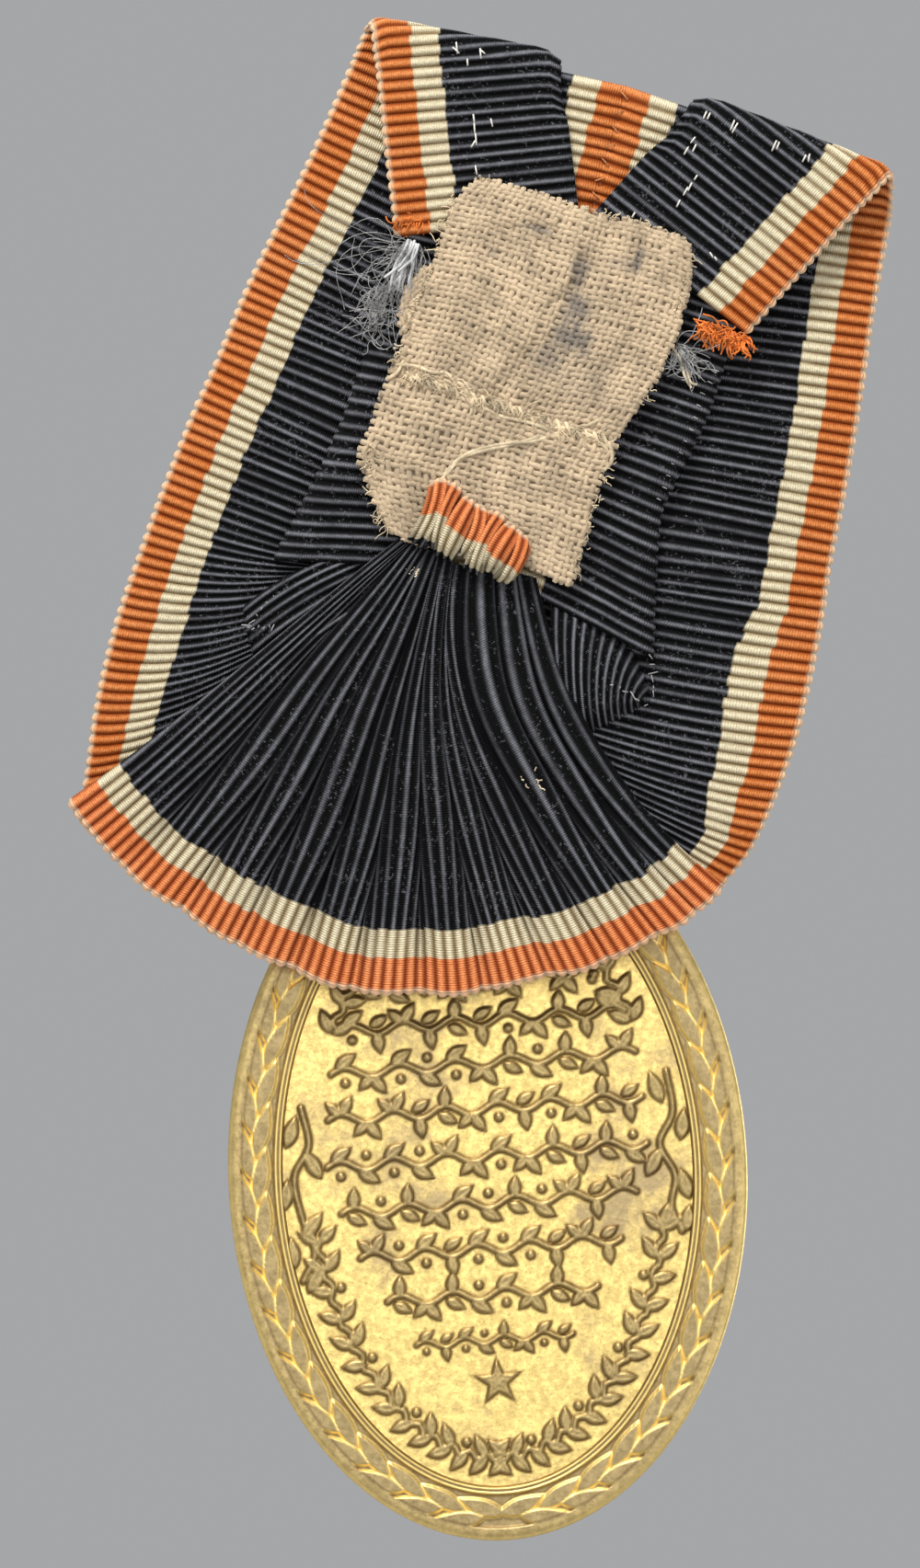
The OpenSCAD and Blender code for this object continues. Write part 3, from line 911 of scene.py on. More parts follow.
def threads(name, lines, radius, finish, sides=6, body="ribbon", closed=False):
    """Round threads along lines of points in the model frame, all in millimetres.
    A line is its points, or its points and the girth at each of them."""
    points, edges, girth, n = [], [], [], 0
    for line in lines:
        p, g = line if isinstance(line, tuple) else (line, None)
        p = np.asarray(p, float)
        k = len(p)
        points.append(p)
        girth.append(np.ones(k) if g is None else np.broadcast_to(g, k))
        i = np.arange(k if closed else k - 1)
        edges.append(np.stack([i, (i + 1) % k], -1) + n)
        n += k
    mesh = bpy.data.meshes.new(name + "_lines")
    mesh.from_pydata((np.concatenate(points) * MM).tolist(), np.concatenate(edges).tolist(), [])
    layer = mesh.attributes.new("girth", "FLOAT", "POINT")
    layer.data.foreach_set("value", np.concatenate(girth).astype(np.float32))
    source = bpy.data.objects.new(name + "_lines", mesh)
    bpy.context.scene.collection.objects.link(source)
    tree = sweep_tree()
    modifier = source.modifiers.new("sweep", "NODES")
    modifier.node_group = tree
    values = {"Radius": float(radius * MM), "Sides": int(sides), "Finish": finish}
    for item in tree.interface.items_tree:
        if item.name in values:
            modifier[item.identifier] = values[item.name]
    source.update_tag()
    bpy.context.view_layer.update()
    done = bpy.data.meshes.new_from_object(source.evaluated_get(bpy.context.evaluated_depsgraph_get()))
    source.modifiers.clear()
    bpy.data.objects.remove(source)
    bpy.data.meshes.remove(mesh)
    done.name = name
    if not len(done.polygons):
        raise RuntimeError(name + " came out empty")
    if not len(done.materials):
        done.materials.append(finish)
    obj = bpy.data.objects.new(name, done)
    bpy.context.scene.collection.objects.link(obj)
    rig.ride(obj, body)
    return obj


def white_thread():
    return material("white_thread", thread_material, (0.17, 0.168, 0.165))


def dark_thread():
    return material("dark_thread", thread_material, (0.10, 0.085, 0.065))


def stitch_line(a, b, y, dip=0.35, n=9, swell=0.0):
    """A thread that comes up out of the cloth, lies on it and goes down again."""
    t = np.linspace(0, 1, n)
    rise = np.sin(np.pi * t) ** 0.35 - 1
    u = a[0] + (b[0] - a[0]) * t
    z = a[1] + (b[1] - a[1]) * t
    return model(u, z, y + dip * rise + swell * np.sin(np.pi * t))


def hairs(seed, count, roots, aim, length, spread, curl, y, depth):
    """Loose fibres that start near the root line, run along aim and curl away."""
    rng = np.random.default_rng(seed)
    out = []
    a, b = np.array(roots, float)
    for _ in range(count):
        t = rng.random()
        start = a + (b - a) * t + rng.normal(0, 0.12, 2)
        angle = math.atan2(aim[1], aim[0]) + rng.normal(0, spread)
        reach = length * rng.uniform(0.35, 1.15)
        n = 14
        s = np.linspace(0, 1, n)
        turn = angle + rng.normal(0, curl) * s
        turn = turn + rng.normal(0, curl * 0.6) * np.sin(s * rng.uniform(3, 8) + rng.random() * 6)
        step = reach / n
        u = start[0] + np.cumsum(np.cos(turn)) * step
        z = start[1] + np.cumsum(np.sin(turn)) * step
        lift = y + depth * (rng.random() * np.sin(np.pi * s * rng.uniform(0.6, 1.1))
                            + rng.normal(0, 0.10) * s)
        out.append((model(u, z, lift), np.linspace(1, 0.55, n) * rng.uniform(0.7, 1.25)))
    return out


class MEDAL_OT_stitches(bpy.types.Operator):
    """Make the tacking stitches, the seam and the threads that hold the gather"""
    bl_idname = "medal.stitches"
    bl_label = "Stitches"

    def execute(self, context):
        top = FLAP_Y + 0.34
        pairs = [((-11.45, 14.35), (-11.2, 13.7)), ((-11.1, 13.75), (-11.6, 14.0)),
                 ((-9.9, 14.4), (-9.65, 13.75)), ((-9.5, 14.15), (-9.85, 14.3)),
                 ((-10.5, 13.55), (-10.35, 13.1)), ((-9.2, 10.3), (-8.95, 9.7)), ((-9.0, 9.8), (-8.75, 9.1)),
                 ((-8.75, 9.2), (-8.45, 8.4)), ((-8.6, 8.7), (-8.75, 8.2)), ((-8.2, 7.2), (-7.9, 6.6)),
                 ((-8.05, 10.3), (-7.8, 9.85)),
                 ((-8.3, 5.6), (-8.1, 5.15))]
        left = [stitch_line(a, b, top) for a, b in pairs]
        pairs = [((5.0, 14.5), (4.9, 13.8)), ((5.25, 14.45), (5.15, 13.9)), ((6.85, 14.4), (6.75, 13.6)),
                 ((7.1, 14.3), (6.9, 13.5)), ((9.75, 13.85), (9.65, 13.15)), ((9.95, 13.8), (9.9, 13.3)),
                 ((11.8, 13.5), (11.7, 13.0)), ((12.0, 13.6), (12.05, 13.1)), ((4.75, 12.7), (4.55, 12.2)),
                 ((4.95, 12.4), (4.8, 11.6)), ((4.5, 12.0), (4.35, 11.4)), ((5.55, 10.5), (5.4, 10.0)),
                 ((5.35, 10.0), (5.2, 9.2)), ((5.15, 9.5), (5.0, 8.9)), ((4.9, 8.6), (4.8, 8.1)),
                 ((2.4, 7.25), (2.25, 6.6)),
                 ((7.6, 5.9), (7.9, 5.6)), ((7.95, 5.7), (8.2, 5.5))]
        right = [stitch_line(a, b, top) for a, b in pairs]
        for name, lines in (("left", left), ("right", right)):
            obj = threads(name + "_flap_stitches", lines, 0.055, white_thread(), 8)
            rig.replaces(obj, name + "_flap_stitches")
            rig.slot(obj, "white_thread")
        seam = []
        for i, z in enumerate(np.arange(-12.6, 14.2, 1.1)):
            side = 1 if i % 2 else -1
            seam.append(stitch_line((-0.3 - 0.34 * side, z), (-0.3 + 0.3 * side, z + 0.42), INNER_Y + 0.27))
            seam.append(stitch_line((-0.3 - 0.3 * side, z + 0.2), (-0.3 + 0.34 * side, z + 0.7),
                                    INNER_Y - 0.3, -0.3))
        obj = threads("seam_thread", seam, 0.045,
                      material("seam_yarn", thread_material, (0.42, 0.17, 0.06)), 6)
        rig.replaces(obj, "seam_thread")
        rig.slot(obj, "dark_thread")
        gather = [stitch_line((-5.2 + 0.62 * i, -16.55 - 0.07 * i + 0.25 * (i % 2)),
                              (-4.7 + 0.6 * i, -16.1 - 0.12 * i), 0.32, 0.5)
                  for i in range(9)]
        obj = threads("gather_thread", gather, 0.07, dark_thread(), 6)
        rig.replaces(obj, "gather_thread")
        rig.slot(obj, "dark_thread")
        return {"FINISHED"}


class MEDAL_OT_frays(bpy.types.Operator):
    """Make the frayed ends, the loose tufts and the lint"""
    bl_idname = "medal.frays"
    bl_label = "Frayed ends"

    def execute(self, context):
        grey = material("loose_fibre", thread_material, (0.30, 0.295, 0.285), 1.5, 0.7)
        rust = material("rust_fibre", thread_material, tuple(context.scene.medal_ribbon.orange), 1.5)
        straw = material("straw_fibre", thread_material, (0.60, 0.50, 0.34))
        y = -1.05
        tuft = hairs(11, 56, ((-11.3, 1.4), (-10.2, 1.6)), (-0.22, -1), 7.4, 0.20, 1.3, y, 0.8)
        tuft += hairs(12, 60, ((-10.9, 1.6), (-10.2, 1.2)), (0.0, -1), 4.0, 0.09, 0.25, y + 0.15, 0.6)
        tuft += hairs(13, 80, ((-12.2, -1.6), (-11.2, -4.6)), (-0.5, -1), 3.0, 1.0, 2.2, y, 0.6)
        obj = threads("left_frayed_end", tuft, 0.019, grey, 4)
        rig.replaces(obj, "left_frayed_end")
        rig.slot(obj, "white_thread")
        thick = hairs(14, 9, ((-10.9, 1.8), (-10.3, 1.4)), (-0.02, -1), 3.6, 0.09, 0.35, y + 0.25, 0.5)
        obj = threads("left_loose_yarn", thick, 0.085,
                      material("pale_yarn", thread_material, (0.50, 0.50, 0.50)), 6)
        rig.slot(obj, "white_thread")
        end = hairs(15, 150, ((8.5, 1.5), (11.6, 1.3)), (-0.3, -1), 1.5, 0.55, 1.1, FLAP_Y - 0.15, 0.7)
        obj = threads("right_frayed_end", end, 0.055, rust, 5)
        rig.replaces(obj, "right_frayed_end")
        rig.slot(obj, "rust_thread")
        end = hairs(16, 60, ((-12.0, 2.6), (-10.4, 3.3)), (0.1, -1), 1.2, 0.45, 0.9, FLAP_Y - 0.15, 0.5)
        obj = threads("left_cut_edge", end, 0.05, rust, 5)
        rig.slot(obj, "rust_thread")
        small = hairs(17, 55, ((7.0, -0.2), (7.9, -0.6)), (0.75, -0.65), 2.6, 0.65, 1.1, y, 0.7)
        obj = threads("right_loose_fibre", small, 0.028, grey, 4)
        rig.slot(obj, "white_thread")
        bits = [model(*smooth_line([(6.9, -0.5), (7.6, -1.1), (8.2, -2.1), (8.8, -2.7)], 6).T, -0.85)]
        bits += [model(*smooth_line([(7.0, -0.9), (7.9, -1.2), (8.6, -2.3), (9.1, -2.4)], 6).T, -0.95)]
        obj = threads("right_loose_yarn", bits, 0.09, straw, 6)
        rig.slot(obj, "linen")
        for name, at, y_at, seed in (("upper_lint", (-4.9, -18.6), -0.62, 21),
                                     ("lower_lint", (5.7, -29.4), -0.85, 22)):
            r = 0.30 if seed == 21 else 0.6
            fluff = hairs(seed, 42, ((at[0] - r * 0.6, at[1]), (at[0] + r * 0.6, at[1] - 0.1)), (1, 0.1),
                          r * 1.6, 1.6, 2.4, y_at, 0.16)
            obj = threads(name, fluff, 0.045, straw, 4)
            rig.slot(obj, "linen")
        glints = []
        rng = np.random.default_rng(31)
        corner = [((10.9, -19.8), (11.7, -22.0)), ((9.0, -22.1), (11.4, -22.75)),
                  ((-13.2, -22.6), (-14.3, -24.9)), ((-12.6, -24.4), (-14.2, -24.9))]
        for a, b in corner:
            for t in np.linspace(0, 1, 6):
                p = np.array(a) + (np.array(b) - np.array(a)) * t + rng.normal(0, 0.06, 2)
                d = rng.normal(0, 0.12, 2)
                glints.append(stitch_line(p - d, p + d + (0.12, 0.02), INNER_Y + 0.52, 0.12, 5))
        for z in np.arange(-10, -0.5, 0.8):
            u = np.interp(z, [-10, -5, -1], [8.95, 9.8, 10.15]) - 0.25 + rng.normal(0, 0.08)
            glints.append(stitch_line((u - 0.2, z), (u + 0.12, z - 0.05), INNER_Y + 0.50, 0.12, 5))
        obj = threads("worn_fold_fibres", glints, 0.035, grey, 4)
        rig.slot(obj, "white_thread")
        return {"FINISHED"}


# ------------------------------------------------------------------- linen

UPPER = {
    "left": Line([(-7.75, 6.35), (-8.5, 5.2), (-8.85, 3.6), (-8.95, 1.2), (-9.1, -1.4), (-9.35, -4),
                  (-9.75, -6.8)]),
    "right": Line([(5.9, 6.15), (6.6, 5.0), (6.95, 3.2), (7.0, 0.8), (6.6, -1.8), (6.0, -4.2), (5.1, -7.0)]),
    "top": Line([(-7.75, 6.35), (-5, 6.5), (-2.2, 6.4), (0.5, 6.25), (3.4, 6.45), (5.9, 6.15)]),
    "foot": Line([(-9.75, -6.8), (-6.8, -6.6), (-3.6, -7.25), (-0.4, -7.5), (2.4, -7.2), (5.1, -7.0)]),
}
LOWER = {
    "left": Line([(-9.7, -6.6), (-9.9, -8.2), (-10.05, -10.5), (-10.2, -12.3), (-9.5, -13.8), (-8.6, -14.9),
                  (-7.2, -16.6)]),
    "right": Line([(5.0, -6.9), (5.1, -8.0), (4.75, -10.2), (4.85, -12.5), (4.9, -14.8), (4.75, -16.9)]),
    "top": Line([(-9.7, -6.6), (-5, -6.5), (0, -6.9), (5.0, -6.9)]),
    "foot": Line([(-7.2, -16.6), (-5.2, -16.9), (-3, -16.6), (0, -16.3), (2.4, -16.4), (4.75, -16.9)]),
}


def coons(patch, a, b):
    """Point of a patch between its four lines: a runs left to right, b down."""
    L, R, T, F = (patch[k] for k in ("left", "right", "top", "foot"))
    l, r = L.at(b * L.length), R.at(b * R.length)
    t, f = T.at(a * T.length), F.at(a * F.length)
    a, b = a[..., None], b[..., None]
    c = ((1 - a) * (1 - b) * L.p[0] + a * (1 - b) * R.p[0] + (1 - a) * b * L.p[-1] + a * b * R.p[-1])
    return (1 - a) * l + a * r + (1 - b) * t + b * f - c


def linen_depth(u, z, lower):
    """How the linen lies: y of its middle, with its creases and sagging edges."""
    if lower:
        y = -0.52 + 0.16 * bell(z, -8.2, 0.9) - 0.10 * soft(-z, 14, 17.5)
        y = y + 0.07 * wave((u, 0.9, 0.7), (z, 1.1, 0.2)) - 0.10 * soft(np.abs(u + 2.6), 5.6, 7.6)
        return y
    crease = np.interp(z, [-7, -2, 1.4, 6], [-3.9, -1.6, -0.4, 0.4])
    off = u - crease
    y = -0.40 + 0.15 * bell(off, -0.7, 0.8) - 0.20 * bell(off, 0.7, 0.7)
    y = y + 0.10 * np.exp(-((u - 1.2) ** 2 + (z + 1.5) ** 2) / 5) + 0.05 * wave((u, 1.0, 0.3), (z, 0.8, 1.9))
    for a, b in (((-4.9, 4.0), (-2.2, 4.7)), ((3.3, 5.4), (3.5, 3.4)), ((-0.1, 3.4), (0.6, 1.6)),
                 ((-1.6, -0.6), (0.0, 1.6))):
        a, b = np.array(a), np.array(b)
        d = b - a
        t = np.clip(((u - a[0]) * d[0] + (z - a[1]) * d[1]) / (d @ d), 0, 1)
        gap = np.hypot(u - a[0] - t * d[0], z - a[1] - t * d[1])
        y = y - 0.16 * np.exp(-(gap / 0.28) ** 2)
    y = y - 0.12 * soft(np.abs(u + 1.2), 6.4, 8.2) - 0.16 * soft(-z, 5.2, 7.2)
    return y


def woven(patch, lower, seed, pitch):
    """Threads of a plain weave over a patch, each a line and its girth."""
    rng = np.random.default_rng(seed)
    width = (patch["top"].length + patch["foot"].length) / 2
    height = (patch["left"].length + patch["right"].length) / 2
    nw, nh = int(round(width / pitch)), int(round(height / pitch))
    out = []
    amp = 0.075

    def settle(a, b, sign):
        p = coons(patch, np.clip(a, 0, 1), np.clip(b, 0, 1))
        d = np.stack([a - np.clip(a, 0, 1), np.clip(b, 0, 1) - b], -1) * (width, height)
        p = p + d
        u, z = p[..., 0], p[..., 1]
        n1 = 0.11 * wave((u, 1.9, seed), (z, 2.3, 1.0))
        n2 = 0.11 * wave((u, 2.1, 3.0), (z, 1.7, seed))
        u, z = u + n1, z + n2
        return model(u, z, linen_depth(u, z, lower) + amp * sign)

    for i in range(nh):
        b = (i + 0.5) / nh + rng.normal(0, 0.0035)
        end = rng.uniform(-0.05, 0.18, 2) * (1.0 if rng.random() < 0.85 else 2.2) / width
        k = np.arange(0, 2 * nw + 1) / (2 * nw)
        k = np.r_[-end[0], k, 1 + end[1]]
        phase = k * nw * np.pi - np.pi / 2
        sign = np.cos(phase + np.pi * i) * np.ones_like(k)
        bb = b + 0.10 / nh * np.sin(k * rng.uniform(9, 16) + rng.random() * 6)
        out.append((settle(k, bb, sign), 1 + 0.16 * np.sin(k * 61 + i * 2.3) + rng.normal(0, 0.08)))
    for j in range(nw):
        a = (j + 0.5) / nw + rng.normal(0, 0.003)
        end = rng.uniform(-0.05, 0.2, 2) / height
        k = np.r_[-end[0], np.arange(0, 2 * nh + 1) / (2 * nh), 1 + end[1]]
        phase = k * nh * np.pi - np.pi / 2
        sign = -np.cos(phase + np.pi * j) * np.ones_like(k)
        aa = a + 0.10 / nw * np.sin(k * rng.uniform(9, 16) + rng.random() * 6)
        out.append((settle(aa, k, sign), 1 + 0.16 * np.sin(k * 53 + j * 1.9) + rng.normal(0, 0.08)))
    return out


def linen_cloth(name, dark=1.0):
    """Linen: warm uneven thread with grey smudges, rust-brown patches and painted shade along its creases; a dark
    below 1 makes a darker copy that serves as painted shade.
    """
    setup = bpy.context.scene.medal_linen
    p = Paint(name, Roughness=0.85, Specular_IOR_Level=0.15, Sheen_Weight=0.2, Sheen_Roughness=0.5)
    place = p.place()
    tone = p.noise(420, 4)
    fine = p.noise(2600, 3)
    base = p.mix(p.between(tone, 0.3, 0.72), [c * 0.74 * dark for c in setup.colour],
                 [c * 1.22 * dark for c in setup.colour])
    base = p.mix(p.math("MULTIPLY", p.between(fine, 0.45, 0.75), 0.5), base,
                 [c * 1.5 * dark for c in setup.colour])
    # dark grey smudges: those over the creases that linen_depth draws are painted shade in the creases, the others
    # grey smudges on the linen
    mottle = p.noise(1500, 4, 0.7)
    for at, size, strength in (((-0.7, -1.7), (2.1, 1.5), 1.0), ((0.5, -3.4), (1.6, 1.3), 0.6),
                               ((-0.4, 0.2), (1.4, 1.7), 0.9), ((0.0, 2.5), (0.9, 1.4), 0.85),
                               ((-3.4, 4.3), (0.45, 1.3), 0.8), ((3.3, 4.35), (1.5, 0.35), 0.75),
                               ((5.6, 2.2), (0.5, 0.5), 0.4),
                               ((-2.4, 3.6), (2.2, 0.8), 0.35), ((-2.0, -4.0), (3.2, 2.2), 0.22)):
        shift = p.node("Mapping", {"Vector": place, "Location": (-at[0] * MM, 0, -at[1] * MM)},
                       vector_type="POINT").outputs[0]
        away = p.node("VectorMath", {0: shift, 1: (1 / (size[0] * MM), 0, 1 / (size[1] * MM))},
                      operation="MULTIPLY").outputs[0]
        far = p.node("VectorMath", {0: away}, operation="LENGTH").outputs["Value"]
        near = p.math("MULTIPLY_ADD", mottle, -1.1, p.math("SUBTRACT", 1.65, far))
        mask = p.math("MULTIPLY", p.between(near, 0.1, 0.9), strength * 0.75)
        base = p.mix(mask, base, (0.085, 0.083, 0.085))
    p.give("Base Color", base)
    p.bump(p.noise(6500, 3), 0.00006, 0.9)
    return p.material


class MEDAL_OT_linen(bpy.types.Operator):
    """Make the linen patch, its tail and its tongue, woven thread by thread"""
    bl_idname = "medal.linen"
    bl_label = "Linen"

    def execute(self, context):
        setup = context.scene.medal_linen
        pitch, radius = setup.pitch / MM, setup.thread / MM
        yarn = material("linen_yarn", linen_cloth)
        # the ground sheet under the weave is the lower layer of linen, a darker copy of the yarn's finish: painted
        # shade between the threads
        ground = material("linen_ground", linen_cloth, 0.62)
        for name, patch, lower, seed, scale in (("linen_patch", UPPER, False, 3, 1.0),
                                                ("linen_tail", LOWER, True, 5, 1.1)):
            a, b = np.meshgrid(np.linspace(0, 1, 44), np.linspace(0, 1, 38), indexing="xy")
            p = coons(patch, 0.012 + a * 0.976, 0.012 + b * 0.976)
            u, z = p[..., 0], p[..., 1]
            points, faces = closed_sheet(model(u, z, linen_depth(u, z, lower) - 0.10), 0.05)
            base = new_object(name, points, faces, ground)
            weave = threads(name + "_weave", woven(patch, lower, seed, pitch * scale),
                            radius * (1 if not lower else 1.02), yarn, 6)
            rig.replaces(base, name)
            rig.slot(base, "linen")
            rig.slot(weave, "linen")
            # the cut's own outline, laid flat
            rim = np.concatenate([patch["top"].p[:-1], patch["right"].p[:-1], patch["foot"].p[::-1][:-1],
                                  patch["left"].p[::-1][:-1]])
            area = 0.5 * abs(np.sum(rim[:, 0] * np.roll(rim[:, 1], -1)
                                    - rim[:, 1] * np.roll(rim[:, 0], -1))) * MM * MM
            flat = tuple((rim.max(0) - rim.min(0)) * MM)
            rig.sheet(base, flat=flat, held="laid", rests_on=["left_inner_fold", "right_inner_fold"],
                     with_pieces=[weave],
                     area=float(area))
        tongue = {"left": Line([(-9.0, 0.2), (-9.7, -0.2), (-10.3, -1.6)]),
                  "right": Line([(-8.7, -1.5), (-9.0, -3.2), (-9.7, -4.4)]),
                  "top": Line([(-9.0, 0.2), (-8.8, -0.7), (-8.7, -1.5)]),
                  "foot": Line([(-10.3, -1.6), (-10.3, -3.2), (-9.7, -4.4)])}
        obj = threads("linen_tongue", [(p - (0, 0.35, 0), g) for p, g in woven(tongue, False, 7, pitch)],
                      radius, yarn, 6)
        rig.replaces(obj, "linen_tongue")
        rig.slot(obj, "linen")
        straw = material("waist_yarn", thread_material, (0.58, 0.47, 0.31))
        rows = [[(-9.5, -6.3), (-8.3, -6.1), (-7.3, -6.2), (-6.4, -6.0), (-5.6, -6.5)],
                [(-6.6, -6.1), (-5.6, -6.3), (-4.6, -7.0), (-4.2, -7.9), (-4.4, -8.6)],
                [(-5.9, -6.0), (-4.9, -6.4), (-4.3, -7.2), (-4.0, -8.4)],
                [(1.6, -7.6), (0.2, -8.6), (-1.6, -9.3), (-3.4, -10.3), (-4.4, -11.4), (-4.9, -12.8)],
                [(0.9, -7.9), (-0.6, -8.9), (-2.4, -9.9), (-4.0, -10.9), (-4.6, -12.2)],
                [(-9.0, -6.9), (-7.6, -6.8), (-6.2, -6.9), (-4.6, -7.4)],
                [(-3.8, -7.4), (-2.2, -7.7), (-0.4, -7.6), (1.2, -7.8)],
                [(1.0, -7.5), (2.2, -7.2), (3.2, -6.7), (3.8, -6.1)],
                [(2.0, -7.6), (3.2, -7.3), (4.2, -7.6), (5.0, -8.1)],
                [(4.1, -7.4), (4.8, -7.6), (5.2, -8.5), (4.9, -9.2)],
                [(-4.9, -12.6), (-4.6, -13.4), (-4.9, -14.1)], [(-9.9, -7.4), (-9.4, -6.8), (-9.2, -6.0)]]
        lines = []
        for k, row in enumerate(rows):
            q = smooth_line(row, 8)
            t = np.linspace(0, 1, len(q))
            y = np.maximum(linen_depth(q[:, 0], q[:, 1], True), -0.5)
            lines.append((model(q[:, 0], q[:, 1],
                                y + 0.22 * np.sin(np.pi * t) ** 0.5 + 0.06 * np.sin(t * 17 + k)),
                          1 + 0.2 * np.sin(t * 11 + k)))
        lines += [(stitch_line((u, -6.9 - 0.04 * u), (u + 0.55, -7.6 - 0.04 * u), -0.20, 0.3), 0.9)
                  for u in np.arange(-8.8, 4.4, 0.62)]
        obj = threads("waist_thread", lines, 0.12, straw, 7)
        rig.replaces(obj, "waist_thread")
        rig.slot(obj, "white_thread")
        fuzz = hairs(41, 120, ((-9.3, -6.6), (4.8, -7.4)), (0.4, -1), 1.1, 1.4, 1.6, -0.25, 0.35)
        fuzz += hairs(42, 70, ((-9.8, -11.5), (-7.2, -16.6)), (-0.6, -1), 1.1, 1.0, 1.4, -0.55, 0.3)
        fuzz += hairs(43, 70, ((-8.9, 5.0), (-9.6, -6.4)), (-1, -0.3), 0.7, 1.0, 1.6, -0.45, 0.3)
        fuzz += hairs(44, 70, ((6.5, 5.6), (6.2, -4.6)), (1, -0.3), 0.7, 1.0, 1.6, -0.45, 0.3)
        fuzz += hairs(45, 70, ((-7.8, 6.3), (6.0, 6.2)), (0.2, 1), 0.6, 1.2, 1.6, -0.4, 0.3)
        fuzz += hairs(46, 40, ((5.0, -8), (4.8, -16.8)), (1, -0.4), 0.6, 1.0, 1.6, -0.5, 0.3)
        obj = threads("linen_fuzz", fuzz, 0.035, straw, 4)
        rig.slot(obj, "linen")
        return {"FINISHED"}


# -------------------------------------------------------------------- disc

# The oval disc: half its width and height, its centre, the ways that its right
# and its top point, and half its thickness at the rim and in the field
HALF_W, HALF_H = 16.5, 23.4
DISC_CENTRE = np.array([9.88, -54.13])
DISC_RIGHT, DISC_UP = np.array([0.9505, 0.3107]), np.array([-0.3107, 0.9505])
RIM_Y, FIELD_Y = 1.2, 0.76


def on_disc(p, q, y, body_y=RING_Y):
    """Coordinates on the disc, p to its right and q up, seen from behind, to the model frame."""
    u = DISC_CENTRE[0] + p * DISC_RIGHT[0] + q * DISC_UP[0]
    z = DISC_CENTRE[1] + p * DISC_RIGHT[1] + q * DISC_UP[1]
    return model(u, z, body_y + y)


def oval_line(inset, n):
    """Points of the oval, evenly spaced from its foot, and their outward normals."""
    t = np.linspace(0, 2 * np.pi, 8001)
    x, y = HALF_W * np.sin(t), -HALF_H * np.cos(t)
    s = np.r_[0, np.cumsum(np.hypot(np.diff(x), np.diff(y)))]
    t = np.interp(np.linspace(0, s[-1], n, endpoint=False), s, t)
    normal = np.stack([np.sin(t) / HALF_W, -np.cos(t) / HALF_H], -1)
    normal /= np.linalg.norm(normal, axis=-1, keepdims=True)
    return np.stack([HALF_W * np.sin(t), -HALF_H * np.cos(t)], -1) - inset * normal, normal, s[-1]


def leaf_gap(x, y, at, angle, length, width):
    """Distance outside a leaf, negative inside it, and distance from its rib."""
    c, s = math.cos(angle), math.sin(angle)
    a = ((x - at[0]) * c + (y - at[1]) * s) / length + 0.5
    b = -(x - at[0]) * s + (y - at[1]) * c
    half = width / 2 * np.sin(np.pi * np.clip(a, 0, 1) ** 0.85) ** 0.9
    over = np.maximum(np.maximum(-a, a - 1), 0) * length
    outside = np.hypot(np.maximum(np.abs(b) - half, 0), over)
    inside = np.maximum(half - np.abs(b), 0) * (over == 0)
    return outside - inside, np.abs(b)


class Relief:
    """Raised ornament over scattered points: height from 0 to 1, and the painted shade along its outline."""

    def __init__(self, x, y):
        self.x, self.y = x, y
        self.gap = np.full(x.shape, 9.0)
        self.vein = np.zeros(x.shape)

    def leaf(self, at, angle, length, width, vein=0.05):
        near = np.flatnonzero(np.hypot(self.x - at[0], self.y - at[1]) < length * 0.5 + 0.5)
        gap, rib = leaf_gap(self.x[near], self.y[near], at, angle, length, width)
        self.gap[near] = np.minimum(self.gap[near], gap)
        if vein:
            self.vein[near] = np.maximum(self.vein[near], np.exp(-(rib / vein) ** 2) * (gap < -0.06))

    def stroke(self, line, half):
        line = np.asarray(line, float)
        for a, b in zip(line, line[1:]):
            mid, reach = (a + b) / 2, np.linalg.norm(b - a) / 2 + 0.6
            near = np.flatnonzero((np.abs(self.x - mid[0]) < reach) & (np.abs(self.y - mid[1]) < reach))
            d = b - a
            t = ((self.x[near] - a[0]) * d[0] + (self.y[near] - a[1]) * d[1]) / max(d @ d, 1e-9)
            t = np.clip(t, 0, 1)
            gap = np.hypot(self.x[near] - a[0] - t * d[0], self.y[near] - a[1] - t * d[1]) - half
            self.gap[near] = np.minimum(self.gap[near], gap)

    def star(self, at, radius, points=5, inner=0.42, turn=0.0):
        x, y = self.x - at[0], self.y - at[1]
        near = np.flatnonzero(np.hypot(x, y) < radius + 0.6)
        angle = np.arctan2(x[near], y[near]) + turn
        sector = np.pi / points
        fold = np.abs((angle + sector) % (2 * sector) - sector)
        r = np.hypot(x[near], y[near])
        px, py = r * np.cos(fold), r * np.sin(fold)
        tip, notch = np.array([radius, 0]), radius * inner * np.array([math.cos(sector), math.sin(sector)])
        d = notch - tip
        gap = ((px - tip[0]) * d[1] - (py - tip[1]) * d[0]) / np.linalg.norm(d)
        self.gap[near] = np.minimum(self.gap[near], gap)
        return near, gap, fold

    def height(self):
        return soft(-self.gap, -0.05, 0.13) * (1 - 0.30 * self.vein)

    # painted shade just outside the ornament's edge and along its veins
    def outline(self):
        return np.clip(bell(self.gap, 0.03, 0.10) + 0.45 * self.vein, 0, 1)


